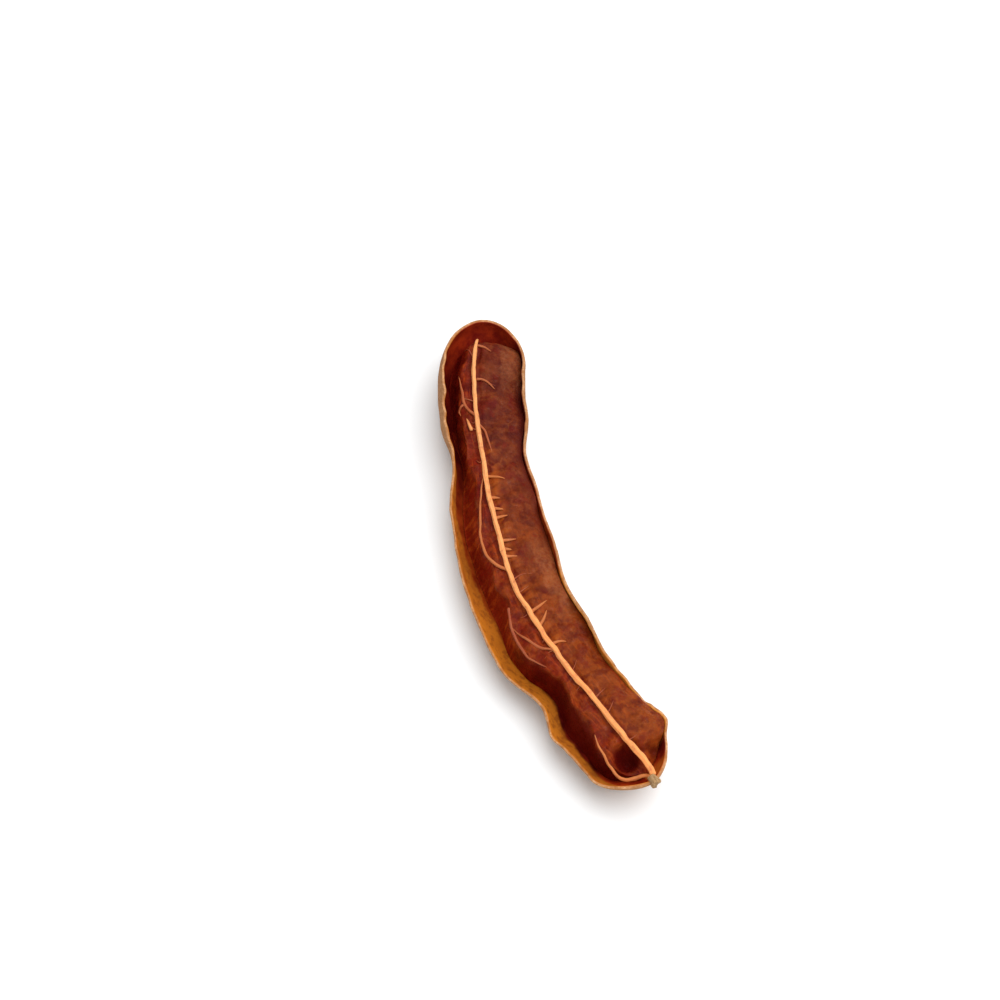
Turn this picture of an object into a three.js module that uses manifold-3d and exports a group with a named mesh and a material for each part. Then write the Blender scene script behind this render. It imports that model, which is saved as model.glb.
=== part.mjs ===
// A ripe tamarind pod opened lengthwise: the lower half of the brittle shell, the sticky pulp that lies in
// it, the strings that run over the pulp, and the stub of the stalk that they grow from.
// Millimetres, +Z up. The pod lies on three low points with its open side up; +X runs from stalk to tip.
import * as THREE from "three";
import { mergeVertices } from "three/addons/utils/BufferGeometryUtils.js";
import Module from "manifold-3d";

const wasm = await Module();
wasm.setup();

// ---- Driving dimensions: millimetres and degrees ----
const LENGTH = 158; // along the curved middle line, stalk end to tip
const WALL = 0.9; // shell thickness
const GAP = 0.3; // kept between pieces that touch
const EQUATOR = 11.6; // height of the pod's widest level above the table
const TIP_RISE = { height: 1.6, reach: 26 };
const STALK_RISE = { height: 1.2, reach: 22 };
const START_HEADING = 18.7;
const BENDS = [
  { turn: 26.7, from: 29, to: 94 },
  { turn: 11.2, from: 91, to: 158 },
];

// Widest points of the lobes and narrowest points of the waists between them, from stalk to tip:
// half-width on the convex (left) and concave (right) side, and depth below the widest level.
const LOBES = [
  { at: 0, left: 12.6, right: 13.9, under: 11.2 },
  { at: 7.5, left: 12.8, right: 13.9, under: 11.0 },
  { at: 12.5, left: 12.9, right: 15.4, under: 10.9 },
  { at: 15.5, left: 13.0, right: 15.3, under: 10.8 },
  { at: 18.5, left: 13.0, right: 14.3, under: 10.8 },
  { at: 22, left: 13.3, right: 13.7, under: 11.0 },
  { at: 27, left: 14.1, right: 12.8, under: 11.6 },
  { at: 36, left: 10.8, right: 12.4, under: 10.2 },
  { at: 50, left: 14.2, right: 14.1, under: 10.8 },
  { at: 64, left: 13.8, right: 13.4, under: 10.8 },
  { at: 79, left: 13.7, right: 14.2, under: 11.6 },
  { at: 95, left: 13.1, right: 12.8, under: 10.8 },
  { at: 111, left: 10.3, right: 11.0, under: 9.9 },
  { at: 124, left: 12.6, right: 12.8, under: 10.6 },
  { at: 131, left: 13.0, right: 12.4, under: 10.7 },
  { at: 141, left: 13.0, right: 12.5, under: 11.8 },
  { at: LENGTH, left: 13.0, right: 12.4, under: 11.3 },
];
const END_REACH = {
  left: { stalk: 11, tip: 20 },
  right: { stalk: 16, tip: 15 },
  under: { stalk: 15, tip: 17 },
};
const END_POWER = { stalk: 1.6, tip: 1.8 };

// Seeds under the pulp: place along the pod and sideways. Each swells the shell and the pulp over it.
const SEEDS = [
  { at: 13, side: 2 },
  { at: 27, side: -3 },
  { at: 46, side: 2 },
  { at: 61, side: -2 },
  { at: 78, side: 3 },
  { at: 93, side: -1 },
  { at: 124, side: 2 },
  { at: 141, side: -3 },
];
const SHELL_SWELL = { height: 0.45, along: 5.5, across: 8 };
const PULP_SWELL = { height: 0.8, along: 5.2, across: 5.5 };
const SECTION_RADIUS = 12.5; // turns an angle round the shell into a distance

// The broken rim: how far round from the keel the shell reaches on each side, 90 being the widest level.
const RIM = [
  { at: 0, left: 92, right: 92 },
  { at: 7, left: 80, right: 76 },
  { at: 10.5, left: 76, right: 73 },
  { at: 13.5, left: 72, right: 82 },
  { at: 17, left: 74, right: 77 },
  { at: 22, left: 77, right: 78 },
  { at: 29, left: 70, right: 88 },
  { at: 36, left: 78, right: 97 },
  { at: 46, left: 74, right: 111 },
  { at: 55, left: 77, right: 112 },
  { at: 64, left: 78, right: 98 },
  { at: 80, left: 80, right: 94 },
  { at: 96, left: 84, right: 93 },
  { at: 108, left: 96, right: 97 },
  { at: 120, left: 111, right: 100 },
  { at: 132, left: 119, right: 104 },
  { at: 146, left: 114, right: 101 },
  { at: LENGTH, left: 98, right: 98 },
];
const RIM_WAVES = [
  { height: 1.7, length: 9.3, leftPhase: 0.4, rightPhase: 2.1 },
  { height: 1.2, length: 5.7, leftPhase: 1.9, rightPhase: 0.2 },
];

// The pulp: the angles to which it clings to each wall, its crest above the widest level, and the crest's
// distance left of the middle line. It lies against the right wall and falls off steeply before the left.
const PULP = [
  { at: 0, left: 38, right: 56, crest: -1.0, side: -1.5 },
  { at: 7.5, left: 40, right: 66, crest: 0.2, side: -1.8 },
  { at: 11, left: 40, right: 84, crest: 0.8, side: -1.7 },
  { at: 16, left: 41, right: 80, crest: 1.5, side: -1.6 },
  { at: 24, left: 37, right: 84, crest: 1.9, side: -1.4 },
  { at: 32, left: 34, right: 87, crest: 2.0, side: -1.3 },
  { at: 40, left: 29, right: 86, crest: 1.8, side: -1.2 },
  { at: 47, left: 36, right: 94, crest: 2.0, side: -1.1 },
  { at: 54, left: 41, right: 97, crest: 2.0, side: -0.8 },
  { at: 62, left: 35, right: 96, crest: 2.0, side: -0.4 },
  { at: 72, left: 38, right: 86, crest: 2.0, side: 0.4 },
  { at: 80, left: 42, right: 81, crest: 2.0, side: 0.5 },
  { at: 90, left: 52, right: 82, crest: 2.0, side: 0.6 },
  { at: 98, left: 50, right: 90, crest: 2.1, side: 1.0 },
  { at: 112, left: 53, right: 90, crest: 2.4, side: 1.2 },
  { at: 121, left: 54, right: 88, crest: 2.5, side: 1.6 },
  { at: 130, left: 51, right: 82, crest: 2.6, side: 1.8 },
  { at: 142, left: 56, right: 90, crest: 3.0, side: 2.0 },
  { at: LENGTH, left: 60, right: 90, crest: 3.0, side: 1.8 },
];
// The shoulder: how far left of the middle line the pulp's steep fall begins.
const SHOULDER = [
  { at: 0, side: 3.0 },
  { at: 7, side: 6.6 },
  { at: 15, side: 6.3 },
  { at: 24, side: 3.6 },
  { at: 31, side: 4.0 },
  { at: 37, side: 1.6 },
  { at: 41, side: 3.0 },
  { at: 44, side: 4.8 },
  { at: 47, side: 6.0 },
  { at: 52, side: 6.8 },
  { at: 57, side: 6.2 },
  { at: 61, side: 4.8 },
  { at: 65, side: 3.2 },
  { at: 71, side: 5.4 },
  { at: 75, side: 4.2 },
  { at: 82, side: 6.0 },
  { at: 90, side: 5.0 },
  { at: 102, side: 4.0 },
  { at: 110, side: 5.6 },
  { at: 119, side: 6.0 },
  { at: 127, side: 6.3 },
  { at: 138, side: 6.0 },
  { at: 146, side: 3.5 },
  { at: LENGTH, side: 2.0 },
];
// Share of the crest's height that the pulp loses evenly on its way left; the rest falls past the shoulder.
const LEFT_SAG = 0.1;
const RIGHT_FALL_POWER = 3;
const PULP_ENDS = { stalk: 3.4, stalkReach: 11, tip: 5, tipReach: 7 };
const PULP_END_POWER = 2.2;
// Hollows where pulp has pulled away from the strings at the stalk: left and right of the main string.
const HOLLOWS = [
  { at: 9.5, side: 1.6, depth: 6.5, along: 3.0, across: 3.0 },
  { at: 7.6, side: -6.3, depth: 2.8, along: 1.8, across: 1.9 },
];
const PULP_RIPPLES = [
  { height: 0.25, along: 13.7, across: 9.1, phase: 0.6 },
  { height: 0.2, along: 7.9, across: 17.3, phase: 2.4 },
];

// Strings: [distance from the stalk, distance left of the middle line] where a string lies on the pulp, and
// a third number, its height above the widest level, where it hangs free.
const STRINGS = [
  {
    name: "main string",
    radius: [0.9, 0.62],
    route: [
      [1.4, -0.7, 0.3], [4, -1.3, 0.9], [8, -1.4, 1.4], [13, -1.1], [22, -1.0], [34, -0.9], [46, -0.7],
      [57, -0.3], [66, 0.6], [76, 0.9], [86, 0.9], [98, 1.6], [112, 1.6], [122, 2.1], [133, 2.4],
      [142, 2.4], [148, 1.9], [151, 1.5],
    ],
  },
  {
    name: "loop at the stalk",
    radius: [0.6, 0.45],
    route: [
      [1.6, -0.2, 0.2], [3.2, 0.8, -0.6], [4.4, 3.4, -1.2], [5.6, 5.5, -1.3], [7.8, 6.5, -1.0],
      [10.5, 6.4, -0.7], [14, 6.2], [17, 5.8], [20, 4.8],
    ],
  },
  {
    name: "left branch, fourth seed",
    radius: [0.5, 0.4],
    route: [[73.4, 0.6], [76, 4.0], [80, 5.7], [86, 5.8], [92, 5.0], [99, 3.6], [104, 2.4]],
  },
  {
    name: "left branch, second seed",
    radius: [0.5, 0.38],
    route: [[45.2, -1.0], [48.5, 2.2], [51.5, 3.8], [55, 5.2], [57.4, 5.9]],
  },
  {
    name: "bow round the second seed",
    radius: [0.4, 0.4],
    route: [[63, 4.4], [58.5, 5.8], [55, 6.4], [51, 6.6], [46.5, 6.0], [43.5, 4.2], [41.4, 2.6]],
  },
  {
    name: "left branch, far lobe",
    radius: [0.5, 0.38],
    route: [[122.6, 1.7], [127.6, 5.3], [131, 5.8], [135, 6.3], [138.5, 6.9]],
  },
  { name: "curl, far lobe", radius: [0.38, 0.35], route: [[128, 5.5], [126.4, 6.9], [124.4, 6.6]] },
  { name: "torn end, far lobe", radius: [0.5, 0.45], route: [[119.4, 2.7], [120.8, 4.1], [123.2, 5.1]] },
  {
    name: "right branch, far lobe",
    radius: [0.4, 0.36],
    route: [[136, 2.0], [136, 0], [135, -1.8], [132.8, -3.6]],
  },
  { name: "right branch, tip", radius: [0.4, 0.36], route: [[147.4, 1.8], [147, -0.6], [145.4, -2.6]] },
  {
    name: "right branch, waist",
    radius: [0.4, 0.36],
    route: [[121, 1.9], [119, 0.2], [116, -0.5], [111.5, -1.3]],
  },
  { name: "tooth 1", radius: [0.5, 0.42], route: [[104.2, 1.6], [103.4, -1.2], [102.4, -3.8]] },
  { name: "tooth 2", radius: [0.5, 0.42], route: [[96.6, 1.5], [96.2, -1.4]] },
  { name: "tooth 3", radius: [0.5, 0.42], route: [[93, 1.3], [92.5, -1.8]] },
  { name: "tooth 4", radius: [0.5, 0.42], route: [[90.2, 1.1], [90.5, -2.7]] },
  { name: "tooth 5", radius: [0.5, 0.42], route: [[82.6, 0.9], [83, -3.7]] },
  { name: "tooth 6", radius: [0.5, 0.42], route: [[80, 0.9], [79.5, -1.7]] },
  { name: "tooth 7", radius: [0.5, 0.42], route: [[77.5, 1], [77.1, -2.9]] },
  { name: "tooth 8", radius: [0.5, 0.42], route: [[58.8, -0.1], [59.6, -3], [61, -6.2]] },
  { name: "tooth 9", radius: [0.5, 0.42], route: [[54, -0.4], [55.6, -2.6], [58, -4.8]] },
  { name: "tooth 10", radius: [0.5, 0.42], route: [[47.6, -0.6], [47.3, -3], [46.6, -5]] },
];
const STRING_SIDES = { thick: 8, fine: 5 };
const FINE_RADIUS = 0.7; // strings thinner than this take the lower number of sides
const STRING_STEP = 2.4;
const SUNK = 0.35; // share of a string's radius that lies below the pulp's surface

// The stalk stub: a short broken cylinder of fibres, from just inside the shell's end outwards.
const STUB = {
  inside: 2.0,
  outside: 1.0,
  rings: [
    [0, 1.0], [0.25, 1.2], [0.55, 1.35], [0.75, 1.55], [0.92, 1.45], [1, 1.0],
  ],
  sides: 10,
  droop: 5,
};

// ---- Small tools ----
const rad = THREE.MathUtils.degToRad;
const smooth = (from, to, s) => THREE.MathUtils.smoothstep(s, from, to);

// Value of one column of a table at s: level at each row, smooth in between.
function stationValue(table, key, s) {
  let i = 0;
  while (i < table.length - 2 && s >= table[i + 1].at) i += 1;
  const from = table[i];
  const to = table[i + 1];
  return THREE.MathUtils.lerp(from[key], to[key], smooth(from.at, to.at, s));
}

// ---- The pod's middle line ----
const heading = (s) =>
  rad(START_HEADING) - BENDS.reduce((sum, b) => sum + rad(b.turn) * smooth(b.from, b.to, s), 0);

const LINE_STEP = 0.25;
const linePoints = [[0, 0]];
for (let s = 0; s < LENGTH; s += LINE_STEP) {
  const [x, y] = linePoints[linePoints.length - 1];
  const h = heading(s + LINE_STEP / 2);
  linePoints.push([x + Math.cos(h) * LINE_STEP, y + Math.sin(h) * LINE_STEP]);
}

function middle(s) {
  const place = THREE.MathUtils.clamp(s / LINE_STEP, 0, linePoints.length - 1.001);
  const i = Math.floor(place);
  const [x0, y0] = linePoints[i];
  const [x1, y1] = linePoints[i + 1];
  const h = heading(s);
  const t = place - i;
  return {
    x: x0 + (x1 - x0) * t,
    y: y0 + (y1 - y0) * t,
    left: new THREE.Vector3(-Math.sin(h), Math.cos(h), 0),
    along: new THREE.Vector3(Math.cos(h), Math.sin(h), 0),
  };
}

// ---- The shell's surface ----
function endRounding(s, reach) {
  const stalk = 1 - Math.min(s / reach.stalk, 1);
  const tip = 1 - Math.min((LENGTH - s) / reach.tip, 1);
  return (
    (1 - stalk ** END_POWER.stalk) ** (1 / END_POWER.stalk) *
    (1 - tip ** END_POWER.tip) ** (1 / END_POWER.tip)
  );
}

const equatorHeight = (s) =>
  EQUATOR +
  STALK_RISE.height * Math.max(1 - s / STALK_RISE.reach, 0) ** 2 +
  TIP_RISE.height * Math.max(1 - (LENGTH - s) / TIP_RISE.reach, 0) ** 2;

const swell = (s, side, form) =>
  SEEDS.reduce(
    (sum, seed) =>
      sum +
      form.height *
        Math.exp(-(((s - seed.at) / form.along) ** 2) - ((side - seed.side) / form.across) ** 2),
    0,
  );

// A point of the outer surface: half an ellipse round each side of the middle line, swollen over the seeds
// and flat where it would dip below the table. The angle is 0 at the keel, positive to the left.
function shellPoint(s, angle) {
  const key = angle >= 0 ? "left" : "right";
  const bump = swell(s, angle * SECTION_RADIUS, SHELL_SWELL) * endRounding(s, END_REACH.under);
  const across = stationValue(LOBES, key, s) * endRounding(s, END_REACH[key]) + bump;
  const down = stationValue(LOBES, "under", s) * endRounding(s, END_REACH.under) + bump;
  const m = middle(s);
  const height = Math.max(equatorHeight(s) - down * Math.cos(angle), 0);
  return new THREE.Vector3(m.x, m.y, height).addScaledVector(m.left, across * Math.sin(angle));
}

// The same point moved inwards, square to the surface.
function insidePoint(s, angle, depth) {
  const ds = 0.03;
  const da = 0.003;
  const at = THREE.MathUtils.clamp(s, 0.05, LENGTH - 0.05);
  const alongStep = shellPoint(at + ds, angle).sub(shellPoint(at - ds, angle));
  const roundStep = shellPoint(at, angle + da).sub(shellPoint(at, angle - da));
  const inwards = alongStep.cross(roundStep).normalize();
  if (s <= 0 || s >= LENGTH) inwards.copy(middle(s).along).multiplyScalar(s <= 0 ? 1 : -1);
  return shellPoint(s, angle).addScaledVector(inwards, depth);
}

function rimAngle(s, key) {
  const away = smooth(0, 8, s) * smooth(LENGTH, LENGTH - 8, s);
  const wave = RIM_WAVES.reduce(
    (sum, w) => sum + w.height * Math.sin((2 * Math.PI * s) / w.length + w[key + "Phase"]),
    0,
  );
  return rad(stationValue(RIM, key, s) + wave * away);
}

// ---- Meshes ----
// Places along the pod, closer together at its rounded ends.
const END_PLACES = [0, 0.12, 0.45, 1.0, 1.8, 2.9];

function places(count, length) {
  const first = END_PLACES[END_PLACES.length - 1];
  const between = Array.from({ length: count - 1 }, (_, i) =>
    THREE.MathUtils.lerp(first, length - first, (i + 1) / count),
  );
  return [...END_PLACES, ...between, ...END_PLACES.map((s) => length - s).reverse()];
}

// Joins rings of equal length into one closed body. Rings may shrink to a point or a line at the ends.
function bodyFromRings(rings) {
  const around = rings[0].length;
  const position = rings.flat().flatMap((p) => p.toArray());
  const index = [];
  for (let i = 0; i < rings.length - 1; i += 1) {
    for (let j = 0; j < around; j += 1) {
      const a = i * around + j;
      const b = i * around + ((j + 1) % around);
      index.push(a, b, a + around, b, b + around, a + around);
    }
  }
  const geometry = new THREE.BufferGeometry();
  geometry.setAttribute("position", new THREE.Float32BufferAttribute(position, 3));
  geometry.setIndex(index);
  return solidFrom(geometry);
}

function solidFrom(geometry) {
  const bare = new THREE.BufferGeometry();
  bare.setAttribute("position", geometry.getAttribute("position"));
  bare.setIndex(geometry.getIndex());
  const merged = mergeVertices(bare, 1e-4);
  const corners = merged.index.array;
  const kept = [];
  for (let i = 0; i < corners.length; i += 3) {
    const [a, b, c] = corners.slice(i, i + 3);
    if (a !== b && b !== c && c !== a) kept.push(a, b, c);
  }
  const build = (triVerts) =>
    new wasm.Manifold(
      new wasm.Mesh({ numProp: 3, vertProperties: merged.attributes.position.array, triVerts }),
    );
  const solid = build(new Uint32Array(kept));
  if (solid.volume() >= 0) return solid;
  const turned = kept.map((_, i) => kept[i - (i % 3) + [0, 2, 1][i % 3]]);
  return build(new Uint32Array(turned));
}

function geometryOf(solid) {
  const mesh = solid.getMesh();
  const position = new Float32Array(mesh.numVert * 3);
  for (let i = 0; i < mesh.numVert; i += 1) {
    position.set(mesh.vertProperties.subarray(i * mesh.numProp, i * mesh.numProp + 3), i * 3);
  }
  const geometry = new THREE.BufferGeometry();
  geometry.setAttribute("position", new THREE.BufferAttribute(position, 3));
  geometry.setIndex(new THREE.BufferAttribute(mesh.triVerts, 1));
  geometry.computeVertexNormals();
  return geometry;
}

// A round rod along a list of points, with a radius at each and a pointed cap at both ends.
function rod(points, radii, sides) {
  const rings = points.map((p, i) => {
    const before = points[Math.max(i - 1, 0)];
    const after = points[Math.min(i + 1, points.length - 1)];
    const along = after.clone().sub(before).normalize();
    const sideways = new THREE.Vector3(0, 0, 1).cross(along).normalize();
    const up = along.clone().cross(sideways);
    return Array.from({ length: sides }, (_, j) => {
      const turn = (2 * Math.PI * j) / sides;
      return p
        .clone()
        .addScaledVector(sideways, radii[i] * Math.cos(turn))
        .addScaledVector(up, radii[i] * Math.sin(turn));
    });
  });
  const cap = (p) => Array.from({ length: sides }, () => p.clone());
  return bodyFromRings([cap(points[0]), ...rings, cap(points[points.length - 1])]);
}

// ---- Shell ----
const SHELL_PLACES = 76;
const SHELL_ROUND = 16;

function makeShell() {
  const rings = places(SHELL_PLACES, LENGTH).map((s) => {
    const left = rimAngle(s, "left");
    const right = -rimAngle(s, "right");
    const angles = Array.from({ length: SHELL_ROUND + 1 }, (_, j) =>
      THREE.MathUtils.lerp(right, left, j / SHELL_ROUND),
    );
    const outside = angles.map((a) => shellPoint(s, a));
    const inside = angles.map((a) => insidePoint(s, a, WALL)).reverse();
    return [...outside, ...inside];
  });
  return bodyFromRings(rings);
}

// ---- Pulp ----
const PULP_PLACES = 64;
const PULP_UNDER = 12;
const PULP_TOP = 18;
const PULP_START = PULP_ENDS.stalk;
const PULP_LENGTH = LENGTH - PULP_ENDS.stalk - PULP_ENDS.tip;

// Share of the pulp's full section that is left near its two ends.
function pulpEnding(s) {
  const stalk = 1 - Math.min((s - PULP_START) / PULP_ENDS.stalkReach, 1);
  const tip = 1 - Math.min((PULP_START + PULP_LENGTH - s) / PULP_ENDS.tipReach, 1);
  return Math.sqrt(
    (1 - Math.max(stalk, 0) ** PULP_END_POWER) * (1 - Math.max(tip, 0) ** PULP_END_POWER),
  );
}

// The pulp's skin against the shell: share 0 at its right edge, 1 at its left edge.
function pulpUnder(s, share) {
  const left = rad(stationValue(PULP, "left", s)) * pulpEnding(s);
  const right = rad(stationValue(PULP, "right", s)) * pulpEnding(s);
  return insidePoint(s, THREE.MathUtils.lerp(-right, left, share), WALL + GAP);
}

const sideOf = (point, m) => (point.x - m.x) * m.left.x + (point.y - m.y) * m.left.y;

// The pulp's open top between the same edges: highest at the crest, rounded off to the right edge, steep
// between the shoulder and the left edge, swollen over the seeds, a little rippled, and hollow at the stalk.
function pulpTop(s, share) {
  const m = middle(s);
  const right = pulpUnder(s, 0);
  const left = pulpUnder(s, 1);
  const point = right.clone().lerp(left, share);
  const ending = pulpEnding(s);
  const width = Math.max(sideOf(left, m) - sideOf(right, m), 1e-6);
  const shareAt = (table) => (stationValue(table, "side", s) * ending - sideOf(right, m)) / width;
  const crestShare = shareAt(PULP);
  const leftward = share > crestShare;
  const away = Math.max(leftward ? (share - crestShare) / (1 - crestShare) : 1 - share / crestShare, 0);
  const shoulder = THREE.MathUtils.clamp((shareAt(SHOULDER) - crestShare) / (1 - crestShare), 0.1, 0.88);
  const fall = leftward
    ? LEFT_SAG * away ** 2 + (1 - LEFT_SAG) * smooth(shoulder, 1, away)
    : away ** RIGHT_FALL_POWER;
  const edge = leftward ? left.z : right.z;
  const crest = equatorHeight(s) + stationValue(PULP, "crest", s);
  const keel = pulpUnder(s, 0.5).z;
  const side = sideOf(point, m);
  const ripple = PULP_RIPPLES.reduce(
    (sum, r) =>
      sum +
      r.height * Math.sin((2 * Math.PI * s) / r.along + (2 * Math.PI * side) / r.across + r.phase),
    0,
  );
  const hollow = HOLLOWS.reduce(
    (sum, h) =>
      sum + h.depth * Math.exp(-(((s - h.at) / h.along) ** 2) - ((side - h.side) / h.across) ** 2),
    0,
  );
  const relief = (swell(s, side, PULP_SWELL) + ripple - hollow) * ending;
  const top = THREE.MathUtils.lerp(keel, crest, ending) + relief;
  point.z = THREE.MathUtils.lerp(Math.max(top, edge), edge, fall);
  return point;
}

// The point of the pulp's top that lies a distance left of the middle line.
function pulpTopAt(s, side) {
  const m = middle(s);
  const right = sideOf(pulpTop(s, 0), m);
  const left = sideOf(pulpTop(s, 1), m);
  return pulpTop(s, THREE.MathUtils.clamp((side - right) / (left - right), 0, 1));
}

function makePulp() {
  const rings = places(PULP_PLACES, PULP_LENGTH).map((t) => {
    const s = PULP_START + t;
    const under = Array.from({ length: PULP_UNDER }, (_, j) => pulpUnder(s, j / PULP_UNDER));
    const top = Array.from({ length: PULP_TOP }, (_, j) =>
      pulpTop(s, (1 + Math.cos((Math.PI * j) / PULP_TOP)) / 2),
    );
    return [...under, ...top];
  });
  return bodyFromRings(rings);
}

// ---- Strings ----
// The middle of a string at its own height: on the pulp, or hanging at the height its route gives.
function stringPoint(knot, s, side, radius) {
  const point = pulpTopAt(s, side);
  const m = middle(s);
  point.set(m.x, m.y, point.z + radius * (1 - SUNK)).addScaledVector(m.left, side);
  if (knot.length > 2) point.z = equatorHeight(s) + knot[2];
  return point;
}

function stringRod(string, grow) {
  const knots = string.route;
  const curve = new THREE.CatmullRomCurve3(knots.map(([s, side]) => new THREE.Vector3(s, side, 0)));
  const points = [];
  const radii = [];
  knots.slice(1).forEach((next, i) => {
    const length = Math.hypot(next[0] - knots[i][0], next[1] - knots[i][1]);
    const steps = Math.max(1, Math.round(length / STRING_STEP));
    const last = i === knots.length - 2 ? 1 : 0;
    for (let k = 0; k < steps + last; k += 1) {
      const place = (i + k / steps) / (knots.length - 1);
      const radius = THREE.MathUtils.lerp(...string.radius, place);
      const { x: s, y: side } = curve.getPoint(place);
      const point = stringPoint(knots[i], s, side, radius);
      point.lerp(stringPoint(next, s, side, radius), smooth(0, 1, k / steps));
      points.push(point);
      radii.push(radius + grow);
    }
  });
  return rod(points, radii, string.radius[0] < FINE_RADIUS ? STRING_SIDES.fine : STRING_SIDES.thick);
}

// ---- Stalk stub ----
function makeStub(grow) {
  const m = middle(0);
  const base = shellPoint(0, 0);
  const outwards = m.along.clone().multiplyScalar(-Math.cos(rad(STUB.droop)));
  outwards.z = -Math.sin(rad(STUB.droop));
  const length = STUB.inside + STUB.outside;
  const points = STUB.rings.map(([t]) =>
    base.clone().addScaledVector(outwards, t * length - STUB.inside),
  );
  const radii = STUB.rings.map(([, r]) => r + grow);
  return rod(points, radii, STUB.sides);
}

// ---- Assembly ----
const stringBody = STRINGS.map((t) => stringRod(t, 0)).reduce((all, t) => all.add(t));
const grooves = STRINGS.map((t) => stringRod(t, GAP)).reduce((all, t) => all.add(t));

const shellBody = makeShell().subtract(makeStub(GAP));
const pulpBody = makePulp().subtract(grooves).subtract(makeStub(GAP));
const stubBody = makeStub(0);
const stringsClear = stringBody.subtract(makeStub(GAP));

const FINISH = {
  shell: { color: 0xb9834f, roughness: 0.85, metalness: 0 },
  pulp: { color: 0x5a1a0c, roughness: 0.35, metalness: 0 },
  strings: { color: 0xe09a5c, roughness: 0.55, metalness: 0 },
  stalk_stub: { color: 0xa98058, roughness: 0.9, metalness: 0 },
};

const pod = new THREE.Group();
const solids = { shell: shellBody, pulp: pulpBody, strings: stringsClear, stalk_stub: stubBody };
for (const [name, solid] of Object.entries(solids)) {
  const mesh = new THREE.Mesh(geometryOf(solid), new THREE.MeshStandardMaterial(FINISH[name]));
  mesh.name = name;
  pod.add(mesh);
}

// The frame's origin is the middle of the pod's box, on the table.
const box = new THREE.Box3().setFromObject(pod);
const centre = box.getCenter(new THREE.Vector3());
pod.position.set(-centre.x, -centre.y, 0);

export default pod;
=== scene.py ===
import bmesh
import bpy
import numpy as np
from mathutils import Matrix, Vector


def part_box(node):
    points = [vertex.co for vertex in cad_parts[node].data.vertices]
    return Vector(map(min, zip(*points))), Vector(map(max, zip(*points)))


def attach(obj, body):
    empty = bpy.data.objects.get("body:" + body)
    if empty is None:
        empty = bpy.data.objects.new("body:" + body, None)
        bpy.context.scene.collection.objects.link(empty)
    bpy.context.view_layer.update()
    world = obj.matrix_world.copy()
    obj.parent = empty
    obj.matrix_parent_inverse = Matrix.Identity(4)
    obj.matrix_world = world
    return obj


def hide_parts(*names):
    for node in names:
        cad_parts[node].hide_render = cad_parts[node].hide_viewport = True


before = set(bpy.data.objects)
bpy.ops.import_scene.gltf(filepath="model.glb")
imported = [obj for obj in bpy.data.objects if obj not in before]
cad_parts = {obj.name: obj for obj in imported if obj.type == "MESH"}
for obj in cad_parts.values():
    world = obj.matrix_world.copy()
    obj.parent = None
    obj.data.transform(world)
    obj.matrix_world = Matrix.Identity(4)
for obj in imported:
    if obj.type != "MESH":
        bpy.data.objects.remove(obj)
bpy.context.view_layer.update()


# ---- Shell ----
# The lower half of the pod's brittle shell: a dry, woody skin about 0.9 mm thick that grew in one piece,
# with swells over the seeds and waists between them. The upper half has been broken off along a ragged
# rim. It lies free on the table on three low swells.

MM = 0.001
POD_LENGTH = 158.0
SHELL_WALL = 0.9
POD_LEVEL = 11.6
RISES, RISE_REACH = (1.2, 1.6), (22.0, 26.0)
POD_HEADING = 18.7
POD_BENDS = ((26.7, 29.0, 94.0), (11.2, 91.0, 158.0))


def eased(start, end, value):
    """3t^2 - 2t^3, where t is the share of the way from start to end that value has come."""
    t = np.clip((value - start) / (end - start), 0.0, 1.0)
    return t * t * (3.0 - 2.0 * t)


def pod_heading(s):
    """Heading of the middle line: the first heading less each bend's degrees, eased in along it."""
    return np.radians(POD_HEADING - sum(turn * eased(start, end, s) for turn, start, end in POD_BENDS))


line_step = 0.25
line_s = np.arange(0.0, POD_LENGTH + line_step, line_step)
line_turn = pod_heading(line_s[:-1] + line_step / 2)
line_x = np.concatenate([[0.0], np.cumsum(np.cos(line_turn)) * line_step])
line_y = np.concatenate([[0.0], np.cumsum(np.sin(line_turn)) * line_step])


def beside_line(s, side, height):
    """Points left of the middle line: the line's running sum of steps, plus side times the direction
    square to the heading, at the given height."""
    s, side, height = np.broadcast_arrays(s, side, height)
    h = pod_heading(s)
    x = np.interp(s, line_s, line_x) - side * np.sin(h)
    y = np.interp(s, line_s, line_y) + side * np.cos(h)
    return np.stack([x, y, height], axis=-1)


# Each row: at, half-width left, half-width right, depth.
LOBES = np.array([
    [0, 12.6, 13.9, 11.2], [7.5, 12.8, 13.9, 11], [12.5, 12.9, 15.4, 10.9], [15.5, 13, 15.3, 10.8],
    [18.5, 13, 14.3, 10.8], [22, 13.3, 13.7, 11], [27, 14.1, 12.8, 11.6], [36, 10.8, 12.4, 10.2],
    [50, 14.2, 14.1, 10.8], [64, 13.8, 13.4, 10.8], [79, 13.7, 14.2, 11.6], [95, 13.1, 12.8, 10.8],
    [111, 10.3, 11, 9.9], [124, 12.6, 12.8, 10.6], [131, 13, 12.4, 10.7], [141, 13, 12.5, 11.8],
    [158, 13, 12.4, 11.3],
])
LOBE_ENDS = {"left": (11.0, 20.0), "right": (16.0, 15.0), "under": (15.0, 17.0)}
LOBE_END_POWERS = (1.6, 1.8)
SEEDS = np.array([[13, 2], [27, -3], [46, 2], [61, -2], [78, 3], [93, -1], [124, 2], [141, -3]])
SHELL_SWELL = (0.45, 5.5, 8.0)
SECTION_RADIUS = 12.5


def station(table, column, s):
    """One column of a table of stations at each s: level at every station and eased between two."""
    i = np.clip(np.searchsorted(table[:, 0], s, side="right") - 1, 0, len(table) - 2)
    t = eased(table[i, 0], table[i + 1, 0], s)
    return table[i, column] * (1.0 - t) + table[i + 1, column] * t


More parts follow.
